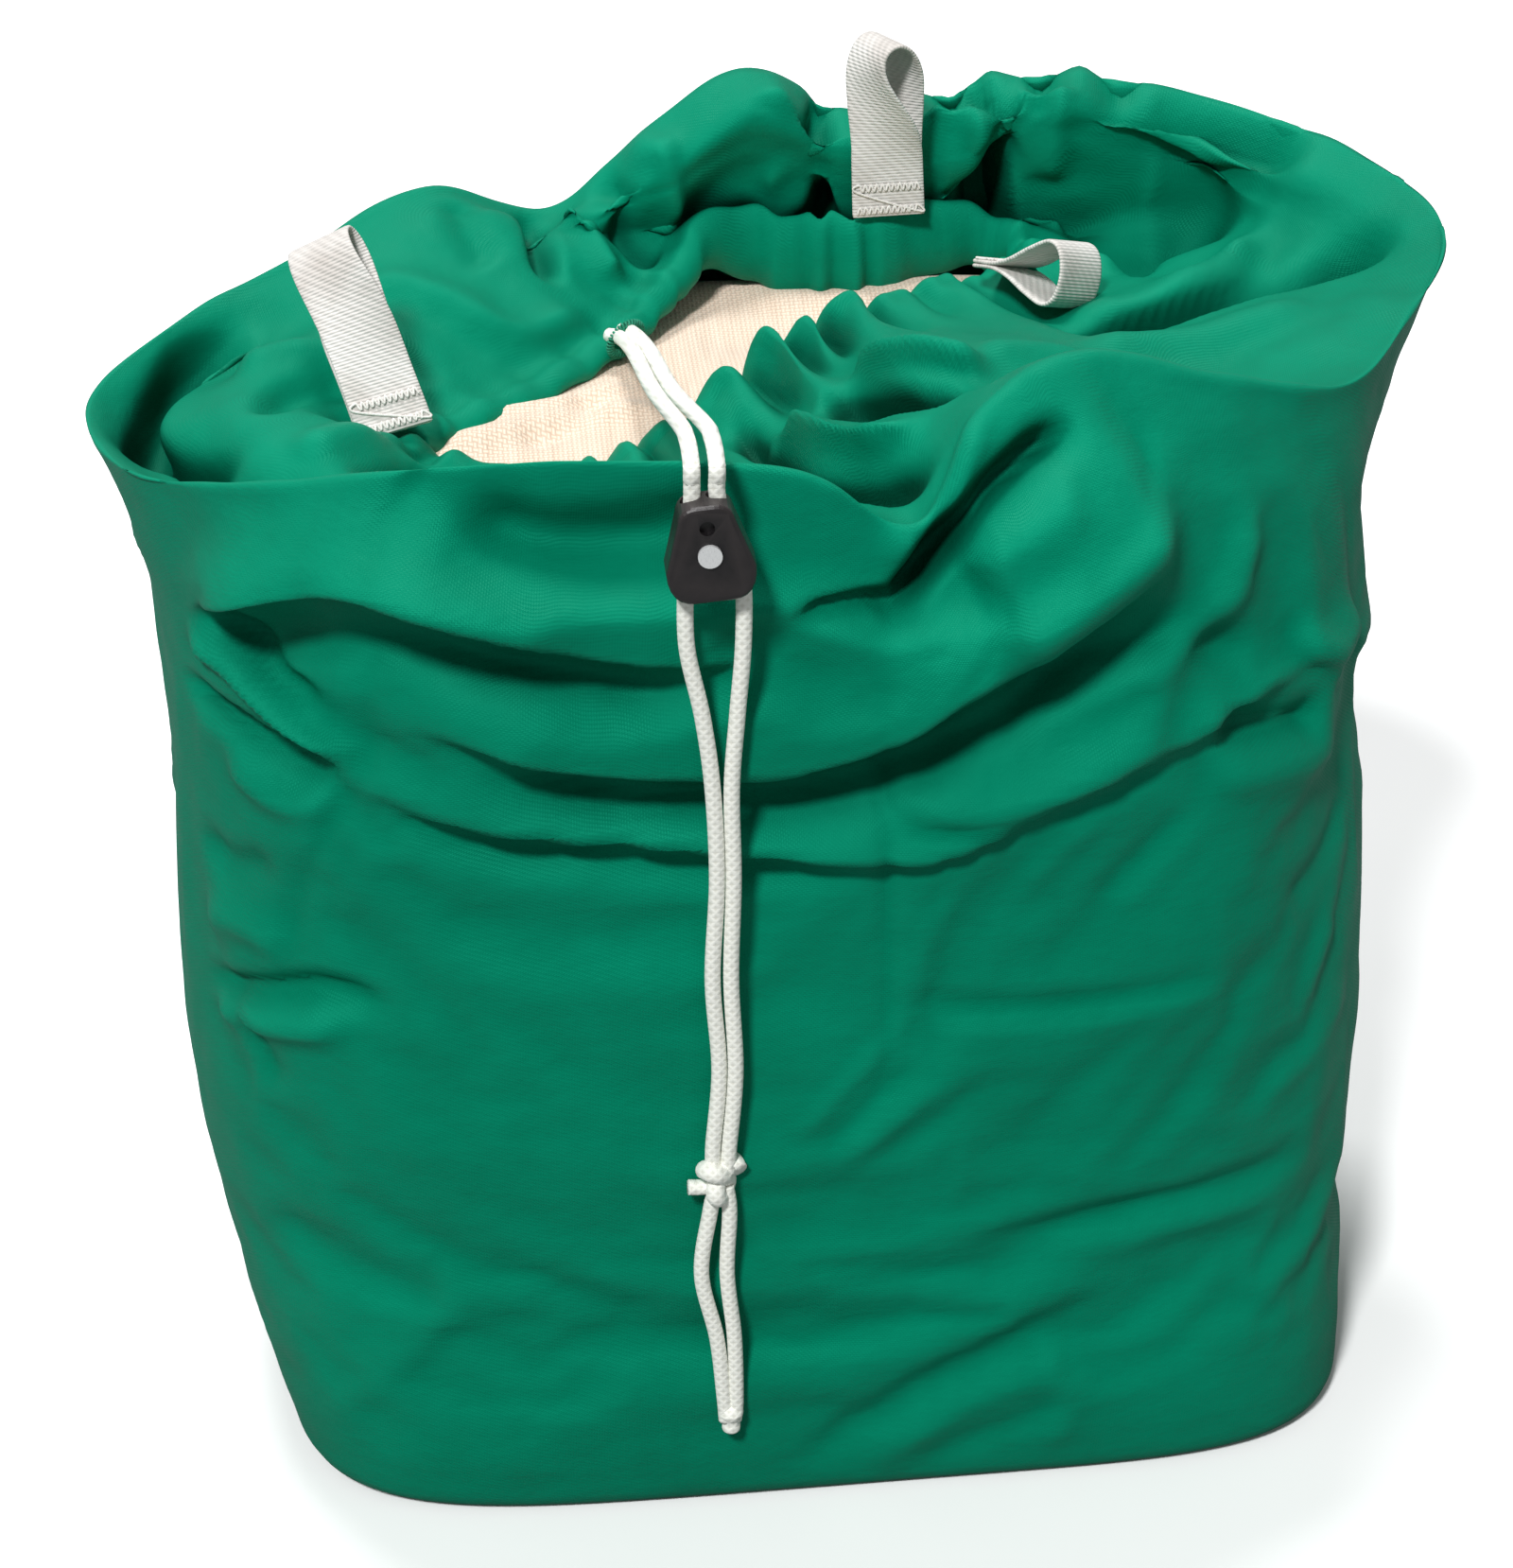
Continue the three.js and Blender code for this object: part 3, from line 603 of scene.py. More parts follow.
# Folds of the wall, as (path of distance round from the front's middle and height, height of the fold,
# fade above, fade below). A path runs from left to right.
FRONT_FOLDS = [
    # the band under the front rim, and the first fold that it hangs over
    ([(-112, 364), (-80, 354), (-48, 355), (-12, 360)], -11, 11, 10),
    ([(-152, 340), (-131, 348), (-98, 345), (-60, 340), (-8, 338), (36, 330)], 9, 4.5, 8),
    ([(-214, 312), (-184, 326), (-158, 338), (-136, 344), (-114, 342), (-84, 334), (-50, 325), (-5, 318)], 16, 15, 3.2),
    ([(-205, 300), (-178, 315), (-150, 325), (-120, 326), (-84, 318), (-50, 310), (-15, 304)], -11, 7, 9),
    ([(-100, 313), (-64, 309), (-28, 303), (10, 304)], 4, 6, 7),
    ([(-2, 335), (14, 333.5), (34, 331)], -9, 2.5, 2.5),
    # the second one, which rises to the right under the big lobe
    ([(-128, 302), (-100, 299), (-64, 291), (-28, 287), (4, 288), (28, 294), (52, 308), (76, 319), (98, 328), (132, 342)],
     15, 15, 3.2),
    ([(-112, 287), (-64, 277), (-28, 272), (4, 273), (30, 279), (56, 292), (84, 304), (114, 316)], -12, 8, 9),
    ([(-20, 331), (4, 328), (28, 322), (59, 326), (95, 336), (122, 346), (140, 362), (146, 378)], 7, 4, 12),
    ([(60, 306), (92, 314), (124, 312), (158, 300)], -8, 10, 9),
    ([(96, 300), (120, 306), (150, 322), (172, 346)], 5, 6, 6),
    # the long crease across the front
    ([(-152, 280), (-116, 271), (-70, 265), (-23, 258), (25, 252), (44, 254), (82, 268), (119, 280), (150, 288), (196, 295)],
     9, 9, 2.4),
    ([(-130, 264), (-70, 258), (-23, 251), (20, 246)], -4, 3, 9),
    ([(22, 266), (52, 270), (82, 277), (110, 289), (124, 303)], 6, 4, 6),
    ([(24, 258), (60, 262), (100, 274), (135, 285)], -4, 3, 3),
    ([(132, 283), (152, 278), (184, 272)], -9, 5, 6),
    ([(170, 303), (190, 292), (215, 294)], 6, 7, 5),
    ([(128, 268), (156, 262), (196, 258)], 4, 7, 7),
    # left edge
    ([(-218, 286), (-190, 284), (-171, 280), (-140, 275)], -9, 3.5, 4.5),
    ([(-190, 271), (-165, 263), (-143, 268)], 4, 5, 5),
    ([(-212, 306), (-186, 302), (-160, 290), (-138, 283)], 7, 6, 4),
    ([(-200, 322), (-186, 312), (-166, 303), (-148, 303)], -7, 5, 5),
    ([(-206, 184), (-172, 194), (-148, 201), (-122, 197)], -8, 3, 5),
    ([(-198, 178), (-165, 186), (-138, 190)], 6, 4, 6),
    ([(-190, 189), (-176, 176), (-164, 158)], -4, 4, 4),
    ([(-204, 208), (-184, 214), (-160, 212)], 4, 5, 7),
    ([(-206, 236), (-188, 232), (-168, 240)], -4, 5, 6),
    # the smooth lower wall
    ([(-125, 232), (-75, 228), (-20, 231)], -1.8, 8, 9),
    ([(-118, 214), (-60, 209), (0, 214)], 1.4, 8, 8),
    ([(-140, 160), (-80, 145), (-20, 150)], 1.2, 20, 20),
    ([(-176, 112), (-146, 96), (-108, 82)], -2.4, 10, 10),
    ([(-160, 24), (-128, 58), (-96, 104)], 1.8, 10, 8),
    ([(-60, 70), (-40, 92), (-8, 112)], -1.2, 10, 10),
    ([(-90, 12), (-62, 40), (-44, 66)], 1.4, 9, 7),
    ([(-5, 6), (33, 39), (78, 64), (112, 76)], -2.7, 6, 9),
    ([(22, 6), (52, 32), (92, 50)], 2.1, 7, 6),
    ([(34, 2), (62, 20), (100, 34)], -1.8, 5, 6),
    ([(88, 10), (92, 34), (82, 56)], 1.8, 5, 5),
    ([(58, 106), (110, 109), (178, 113)], -2.4, 4, 8),
    ([(72, 96), (120, 98), (176, 102)], 1.8, 6, 6),
    ([(-2, 148), (12, 166), (30, 186)], 1.9, 3, 3),
    ([(6, 142), (20, 158), (38, 177)], -1.8, 3, 3),
    ([(14, 140), (28, 153), (46, 170)], 1.7, 3, 3.5),
    ([(24, 138), (40, 150), (60, 168)], -1.2, 4, 4),
    ([(92, 226), (106, 240), (124, 256)], -1.6, 3, 4),
    ([(70, 236), (84, 250), (96, 258)], 1.5, 4, 4),
    ([(100, 222), (116, 236), (132, 250)], 1.4, 3.5, 3.5),
    ([(170, 168), (178, 184), (190, 196)], 1.8, 5, 5),
    ([(160, 210), (182, 218), (205, 230)], -2.4, 5, 6),
    ([(150, 140), (172, 148), (200, 166)], 1.8, 6, 6),
    ([(150, 60), (176, 72), (198, 92)], 1.6, 7, 7),
]

# Sharp lines pressed into the cloth while it lay folded in its packet.
PRESSED_CREASES = [
    ([(-121, 382), (-129, 362), (-137, 345)], -3.2, 4, 2.5),
    ([(-133, 330), (-136, 280), (-142, 270), (-158, 234), (-166, 196)], -2.8, 3, 3),
    ([(25, 324), (26, 289), (27, 220), (27, 160)], -2.8, 3, 3),
    ([(20, 197), (85, 193), (150, 195)], -4, 2.5, 5),
    ([(34, 188), (85, 186), (142, 192)], 2.6, 2.5, 6),
]

# The lobe at the front right and the folds that lead up to it.
LOBE_FOLDS = [
    ([(24, 323), (32, 330), (43, 339), (56, 350), (71, 361), (91, 370), (114, 375)], -17, 4, 3.4),
    ([(26, 340), (42, 356), (58, 370), (76, 384)], 6, 6, 6),
    ([(56, 330), (96, 344), (138, 350)], 15, 28, 15),
    ([(52, 338), (76, 352), (104, 362)], 6, 5, 9),
]

# Small frills along the rim at the back, which the gathers in the hem reach up to.
RIM_FRILLS = [
    ([(554, 374), (552, 400)], -4, 5, 5),
    ([(520, 376), (522, 404)], 4, 5, 5),
    ([(506, 376), (508, 404)], -6, 4.5, 4.5),
    ([(492, 376), (493, 404)], 5, 5, 5),
    ([(478, 378), (477, 404)], -5, 4.5, 4.5),
    ([(464, 378), (463, 404)], 4, 5, 5),
    ([(450, 378), (449, 402)], -4, 5, 5),
]

# Slits between the strips that are folded over each other at the front, left of the lobe: seen from above, as
# (path of x and y, height, fade on the path's left, on its right). The cloth in them also gets painted shade.
DEEP_SLITS = [
    ([(-9, -22), (-6, -44), (0, -66), (8, -84), (20, -98), (33, -108), (46, -116)], -17, 5, 4.5),
    ([(17, -38), (27, -50), (35, -61), (44, -71), (58, -80)], -19, 4.5, 4.5),
]

# The collar's other folds, in the same way.
COLLAR_FOLDS = [
    *DEEP_SLITS,
    ([(5, -38), (11, -56), (19, -73), (31, -86), (46, -92)], 11, 5, 4.5),
    ([(26, -26), (40, -40), (54, -54), (68, -66)], 10, 6, 4.5),
    ([(-46, -64), (-26, -80), (-10, -94)], 6, 6, 5),
    ([(-60, -52), (-38, -62), (-20, -80)], -6, 5, 5),
    ([(56, -86), (84, -72), (122, -64), (164, -48)], -9, 10, 8),
    ([(60, -50), (90, -44), (120, -40)], 5, 8, 8),
    # the gusset valley that runs to the right tip, and the lobe behind it
    ([(98, 2), (112, 8), (130, 15), (150, 23), (172, 34), (198, 42), (224, 40)], -22, 9, 7),
    ([(98, 18), (132, 26), (152, 40), (172, 64), (188, 84)], 10, 7, 6),
    ([(122, 88), (150, 98), (176, 98), (198, 82)], -15, 12, 10),
    ([(95, -22), (135, -14), (190, 6)], 6, 9, 9),
    ([(150, -34), (186, -22), (214, 4)], 3, 12, 12),
    ([(147, 132), (148, 114), (147, 98)], 2.4, 1.6, 1.6),
    # frills behind the right loop
    ([(76, 90), (86, 68), (104, 52)], 8, 6, 6),
    ([(92, 90), (102, 68), (120, 54)], -8, 4.5, 4.5),
    ([(104, 100), (116, 80), (134, 64)], 7, 6, 6),
    ([(118, 106), (132, 90), (148, 78)], -6, 5, 5),
    # folds on both sides of the back loop
    ([(70, 126), (76, 119), (86, 116), (96, 106)], 8, 5, 4),
    ([(84, 130), (92, 122), (102, 114)], -13, 5, 5),
    ([(100, 128), (110, 119), (122, 114)], 7, 5, 5),
    ([(36, 126), (32, 117), (29, 110)], -9, 4, 4),
    ([(18, 128), (16, 118), (14, 112)], 5, 6, 5),
    # left puffs
    ([(-166, -56), (-186, -36), (-197, -6), (-188, 26), (-164, 50)], -18, 6, 6),
    ([(-184, -66), (-190, -30), (-186, 4), (-174, 30), (-152, 54)], 9, 8, 9),
    ([(-162, -34), (-150, -10), (-126, 0)], -7, 6, 6),
    ([(-172, 6), (-148, 12), (-124, 8)], 6, 6, 6),
    ([(-140, 40), (-120, 26), (-104, 10)], -6, 5, 5),
    ([(-150, -62), (-128, -44), (-108, -30)], 6, 7, 7),
    ([(-132, -72), (-112, -50), (-100, -36)], -6, 4, 4),
    ([(-120, -80), (-98, -56), (-90, -40)], 5, 4, 4),
    # back left puff
    ([(-140, 50), (-119, 55), (-102, 50), (-82, 44), (-62, 50), (-46, 66)], 8, 12, 8),
    ([(-74, 106), (-67, 92), (-63, 66)], -11, 3.5, 4.5),
    ([(-58, 106), (-50, 92), (-42, 76)], 7, 6, 5),
    ([(-46, 112), (-36, 98), (-26, 90)], -6, 4, 4),
    ([(-34, 118), (-24, 108), (-16, 104)], 6, 5, 5),
    ([(-96, 96), (-92, 80), (-84, 66)], -4, 8, 6),
]


# Strips of the collar that lean over the slits in front of them, as (path of x and y, how far, fades).
LEANING_STRIPS = [
    ([(5, -38), (11, -56), (19, -73), (31, -86), (46, -92)], (-1, -4, 0), 5, 4),
    ([(26, -26), (40, -40), (54, -54), (68, -66)], (-1, -4, 0), 5, 4),
    ([(-10, 92), (8, 101), (33, 98), (55, 101), (74, 106)], (0, -3, -2), 4, 4),
    ([(-24, 112), (5, 120), (40, 120), (74, 123), (110, 124), (150, 118)], (0, -6, -3), 5, 5),
    ([(96, 12), (120, 22), (150, 38), (176, 64)], (0, -7, -2), 6, 4),
]


def side_folds(length):
    """Horizontal slack folds for the sides and the back, which bend up and down as they go round."""
    folds = []
    spans = [(205, 300), (250, 420), (300, 470), (400, 560), (440, 640), (560, 720), (600, 780), (700, 880), (760, 930)]
    for k, (start, end) in enumerate(spans):
        for level, (height, size) in enumerate([(330, 5), (292, 6.5), (262, 5), (214, 2.5), (120, 1.6), (60, 1.4)]):
            shift = random.uniform(-14, 14)
            sag = random.uniform(-12, 12)
            middle = (start + end) / 2 + random.uniform(-20, 20)
            path = [(start, height + shift), (middle, height + shift + sag), (end, height + shift + random.uniform(-9, 9))]
            sign = 1 if (k + level) % 2 else -1
            above = random.uniform(9, 15)
            below = above * (0.35 if sign > 0 and size > 5 else 0.9)
            size *= 0.6 if end < 480 else 1.0
            folds.append((path, sign * size * random.uniform(0.7, 1.1), above, below))
    return [([(s % length if s > length / 2 else s, z) for s, z in path], *rest) for path, *rest in folds]


def wave_noise(x, count, low, high, period):
    """Smooth random values, periodic in x, with about low to high waves round the period."""
    result = np.zeros_like(x)
    for _ in range(count):
        waves = random.integers(low, high + 1)
        result += random.normal() * np.sin(2 * math.pi * waves * x / period + random.uniform(0, 6.283))
    return result / math.sqrt(count)


def gathers(hem_run, hem_length, distance, size):
    """Height of the drawcord's gathers at a distance from the hem: narrow ones that join into wider ones."""
    phase = 1.1 * wave_noise(hem_run, 8, 2, 9, hem_length)[None, :]
    sway = 0.5 * wave_noise(hem_run, 6, 3, 8, hem_length)[None, :] * distance / 40
    turn = 2 * math.pi * hem_run[None, :] / hem_length + sway * 0.05
    narrow = np.cos(56 * turn + 2.2 * phase) * np.exp(-distance / 8)
    middle = np.cos(28 * turn + 1.6 * phase + 1) * np.exp(-((distance - 3) / 20) ** 2)
    wide = np.cos(15 * turn + phase + 2) * np.exp(-((distance - 24) / 26) ** 2)
    strength = 1 + 0.45 * wave_noise(hem_run, 8, 3, 14, hem_length)[None, :]
    return size[None, :] * strength * (0.35 * narrow + 1.1 * middle + 0.7 * wide)


def shape_bag():
    """The cloth's grid with all its folds, and what later steps need to know about it."""
    rows = bag_rows()
    steps = [40] * 3 + [3] + [3.2] * 7 + [2.2] * 6 + [1.7] * (HEM_ROW - RIM_ROW) + [1.3] * 6
    grid, index = loft(rows, steps[: len(rows) - 1])
    normal = grid_normals(grid)
    rim_row, hem_row = index[RIM_ROW], index[HEM_ROW]
    belt = grid[index[BASE_ROWS + 5]]
    hop = np.linalg.norm(np.roll(belt, -1, axis=0) - belt, axis=1)
    run = np.concatenate([[0], np.cumsum(hop)[:-1]])
    girth = hop.sum()
    front_middle = np.argmin(np.abs(belt[:, 0]) + 1000 * (belt[:, 1] > 0))
    run = (run - run[front_middle]) % girth
    signed_run = np.where(run > girth / 2, run - girth, run)

    down_from_rim = np.arange(len(grid))[:, None] - rim_row
    on_wall = smoothstep(0.5 - down_from_rim / 6.0) * np.ones(grid.shape[:2])
    above_base = smoothstep((grid[:, :, 2] - 1) / 25.0)
    lift = np.zeros(grid.shape[:2])

    def draw(folds, across, up, weight, sharp=False):
        flat = np.stack([across.ravel(), up.ravel()], axis=1)
        for path, height, left, right in folds:
            lift[...] += weight * stroke(flat, path, height, left, right, 0.22, sharp).reshape(lift.shape)

    round_to = np.broadcast_to(signed_run, lift.shape)
    round_all = np.broadcast_to(run, lift.shape)
    z = grid[:, :, 2]
    draw(FRONT_FOLDS + LOBE_FOLDS, round_to, z, on_wall * above_base)
    draw(PRESSED_CREASES, round_to, z, on_wall * above_base, sharp=True)
    draw(side_folds(girth), round_all, z, on_wall * above_base)
    near_rim = np.exp(-((down_from_rim / 9.0) ** 2)) * np.ones(lift.shape)
    draw(RIM_FRILLS, round_all, z, near_rim)
    seams = [([(signed_run[c], 20), (signed_run[c] + 3, 200), (signed_run[c] - 2, 330)], -1.4, 2.2, 2.2)
             for c in (0, int(COLUMNS * 11.5 / 24))]
    draw(seams, round_to, z, on_wall * above_base, sharp=True)

    in_collar = smoothstep((down_from_rim + 2) / 6.0) * np.ones(grid.shape[:2])
    before_hem = smoothstep((hem_row + 2 - np.arange(len(grid)))[:, None] / 10.0)
    draw(COLLAR_FOLDS, grid[:, :, 0], grid[:, :, 1], in_collar * before_hem)
    # A mask of the two slits, which the cloth's material uses to paint shade into them.
    seen_from_above = grid[:, :, :2].reshape(-1, 2)
    slit_painted_shade = sum(stroke(seen_from_above, path, 1.0, 4.4, 4.4).reshape(lift.shape) for path, *_ in DEEP_SLITS)
    slit_painted_shade = slit_painted_shade * in_collar * before_hem

    hem = grid[index[HEM_ROW + 1]]
    hem_hop = np.linalg.norm(np.roll(hem, -1, axis=0) - hem, axis=1)
    hem_run = np.concatenate([[0], np.cumsum(hem_hop)[:-1]])
    distance = np.linalg.norm(np.diff(grid, axis=0), axis=2)
    to_hem = np.zeros(grid.shape[:2])
    to_hem[:hem_row] = np.cumsum(distance[::-1], axis=0)[::-1][:hem_row] - np.cumsum(distance[::-1], axis=0)[::-1][hem_row]
    size = around([s[4] for s in SPOKES])[:, 0]
    ruffle = gathers(hem_run, hem_hop.sum(), to_hem, size) * in_collar * 1.1
    across = normal.copy()
    across[hem_row:] = normal[hem_row]       # the hem's tube moves as one
    grid = grid + normal * lift[:, :, None] + across * ruffle[:, :, None]
    droop = np.maximum(lift, 0) * 0.35 * on_wall
    grid[:, :, 2] -= droop

    for path, move, left, right in LEANING_STRIPS:
        flat = np.stack([grid[:, :, 0].ravel(), grid[:, :, 1].ravel()], axis=1)
        share = stroke(flat, path, 1.0, left, right).reshape(lift.shape) * in_collar * before_hem
        grid = grid + share[:, :, None] * np.array(move)

    # the hem itself waves in and out and up and down
    in_hem = smoothstep((np.arange(len(grid)) - hem_row + 10)[:, None] / 12.0)
    scallop = wave_noise(hem_run, 10, 22, 34, hem_hop.sum())
    grid[:, :, 2] += in_hem * 0.5 * size * scallop
    out = level_outward(hem)
    sway = wave_noise(hem_run, 10, 9, 24, hem_hop.sum()) * size * 0.5
    grid += (in_hem * sway)[:, :, None] * out[None]
    return grid, index, run, girth, slit_painted_shade


def crumple(grid, index):
    """Broad and small irregularities of slack cloth, everywhere above the base."""
    from mathutils import noise
    normal = grid_normals(grid)
    free = smoothstep((grid[:, :, 2] - 4) / 30.0)
    slack = 0.5 + 0.5 * smoothstep((grid[:, :, 2] - 190) / 90.0)
    bump = np.empty(grid.shape[:2])
    for r in range(grid.shape[0]):
        for c in range(grid.shape[1]):
            p = Vector(grid[r, c])
            broad = noise.noise(Vector((p.x / 62, p.y / 62, p.z / 34)))
            small = noise.noise(Vector((p.x / 21 + 9, p.y / 21, p.z / 13)))
            bump[r, c] = 2.4 * broad + 0.9 * small
    bump *= free * slack
    bump[index[HEM_ROW]:] *= 0.3
    return grid + normal * bump[:, :, None]


def press_behind_cords(grid):
    """The hanging cords and their lock press the cloth behind them in, and stay clear of it as they swing."""
    x, y, z = grid[:, :, 0], grid[:, :, 1], grid[:, :, 2]
    for width, limit, step, power in ((24, -154.8, 2.6, 4), (30 + 0.38 * np.maximum(384 - z, 0), -154.8, 1.4, 8)):
        near = np.exp(-((np.abs(x - CORD_X) / width) ** power)) * (grid[:, :, 1] < 0) * (z < 384)
        over = np.maximum(limit + step * smoothstep((z - 225) / 20) - grid[:, :, 1], 0)
        grid[:, :, 1] += near * over
    return grid


def relax(grid, rounds, keep_rows):
    """Evens out the grid a little; the rows below keep_rows stay."""
    for _ in range(rounds):
        smooth = grid.copy()
        smooth[1:-1] = 0.5 * grid[1:-1] + 0.125 * (
            grid[2:] + grid[:-2] + np.roll(grid, 1, axis=1)[1:-1] + np.roll(grid, -1, axis=1)[1:-1]
        )
        smooth[:keep_rows] = grid[:keep_rows]
        grid = smooth
    return grid


SLACK_UP = 0.12      # extra cloth up the wall's slack part
SLACK_ROUND = 0.015    # extra cloth round the bag's slack part
MOST_MOVE = 8.0        # no point settles further than this
HOLD = 0.12            # how firmly the drawn shape is held on the wall
HOLD_AT_TOP = 0.7      # and from the rim inwards
GRAVITY = 0.15


def settle(grid, index, solid, frames):
    """Lets the drawn cloth settle as real cloth: the cut is larger than the drawn shape, so the spare cloth
    buckles into small folds between the drawn ones. It runs on every second row and column."""
    rows = np.unique(np.append(np.arange(0, len(grid), 2), len(grid) - 1))
    start = grid[rows][:, ::2]
    z = start[:, :, 2]
    cut = start * (1 + SLACK_ROUND * (0.35 + 0.65 * smoothstep((z - 120) / 120)))[:, :, None]
    cut[:, :, 2] = z + SLACK_UP * np.maximum(z - 150, 0)
    n_rows, columns = z.shape
    sheet = make_mesh("cloth_sheet", start.reshape(-1, 3), grid_faces(n_rows, columns, True).tolist())
    sheet.shape_key_add(name="drawn")
    key = sheet.shape_key_add(name="cut")
    key.data.foreach_set("co", (cut.reshape(-1) * MM).astype(np.float32))
    in_collar = smoothstep((rows[:, None] - index[HEM_ROW] + 12) / 10.0)
    at_base = smoothstep((45 - z) / 30.0)
    held = np.clip(np.maximum(in_collar, at_base), 0, 1)
    near_top = HOLD + (HOLD_AT_TOP - HOLD) * smoothstep((rows[:, None] - index[RIM_ROW] + 24) / 22.0)
    held = near_top + (1 - near_top) * held
    group = sheet.vertex_groups.new(name="held")
    for level in np.unique(np.round(held.ravel(), 2)):
        points = np.flatnonzero(np.round(held.ravel(), 2) == level)
        group.add(points.tolist(), float(level), "REPLACE")
    solid.modifiers.new("solid", "COLLISION")
    solid.collision.thickness_outer = 1 * MM
    cloth = sheet.modifiers.new("cloth", "CLOTH")
    cloth.settings.quality = 5
    cloth.settings.mass = 0.12
    cloth.settings.tension_stiffness = 18
    cloth.settings.compression_stiffness = 18
    cloth.settings.shear_stiffness = 6
    cloth.settings.bending_stiffness = 0.02
    cloth.settings.tension_damping = 8
    cloth.settings.compression_damping = 8
    cloth.settings.air_damping = 2
    cloth.settings.vertex_group_mass = "held"
    cloth.settings.pin_stiffness = 1.0
    cloth.settings.rest_shape_key = key
    cloth.settings.effector_weights.gravity = GRAVITY
    cloth.collision_settings.distance_min = 1 * MM
    cloth.point_cache.frame_end = frames
    scene = bpy.context.scene
    for frame_number in range(1, frames + 1):
        scene.frame_set(frame_number)
    shape = sheet.evaluated_get(bpy.context.evaluated_depsgraph_get()).to_mesh()
    result = np.empty(len(shape.vertices) * 3, np.float32)
    shape.vertices.foreach_get("co", result)
    scene.frame_set(1)
    bpy.data.objects.remove(sheet)
    solid.modifiers.remove(solid.modifiers["solid"])
    move = result.reshape(start.shape) / MM - start
    size = np.linalg.norm(move, axis=2)
    print("settled: mean", size.mean(), "most", size.max())
    move *= (MOST_MOVE * np.tanh(size / MOST_MOVE) / np.maximum(size, 1e-9))[:, :, None]
    wide = np.empty((n_rows, grid.shape[1], 3))
    wide[:, ::2] = move
    wide[:, 1::2] = (move + np.roll(move, -1, axis=1)) / 2
    at = np.searchsorted(rows, np.arange(len(grid)))
    before = np.maximum(at - 1, 0)
    share = np.where(rows[at] == np.arange(len(grid)), 1.0, 0.5)[:, None, None]
    return grid + wide[at] * share + wide[before] * (1 - share)


def bag_cloth(grid, run, girth, slit_painted_shade):
    """The cloth piece: a thin closed sheet."""
    rows, columns = grid.shape[:2]
    length = np.concatenate([np.zeros((1, columns)), np.cumsum(np.linalg.norm(np.diff(grid, axis=0), axis=2), axis=0)])
    u = np.append(np.arange(columns), columns) * girth / columns * MM
    v = np.hstack([length, length[:, :1]]) * MM
    faces = grid_faces(rows, columns, True)
    uv = grid_uv(u, v, rows, columns, True)
    vertices = np.vstack([grid.reshape(-1, 3), grid[0].mean(axis=0)[None]])
    centre = rows * columns
    fan = [[centre, (c + 1) % columns, c] for c in range(columns)]
    corners = np.vstack([uv, np.zeros((3 * columns, 2))])
    piece = make_mesh("bag_cloth", vertices, faces.tolist() + fan, corners, CLOTH)
    # The slit mask, kept on each point, which the cloth's material uses to paint shade into the slits.
    dark = piece.data.attributes.new("slit_painted_shade", "FLOAT", "POINT")
    dark.data.foreach_set("value", np.append(slit_painted_shade.ravel(), 0).astype(np.float32))
    thick = piece.modifiers.new("cloth_thickness", "SOLIDIFY")
    thick.thickness = 0.5 * MM
    thick.offset = -1
    return piece


# ---------------------------------------------------------------- linen

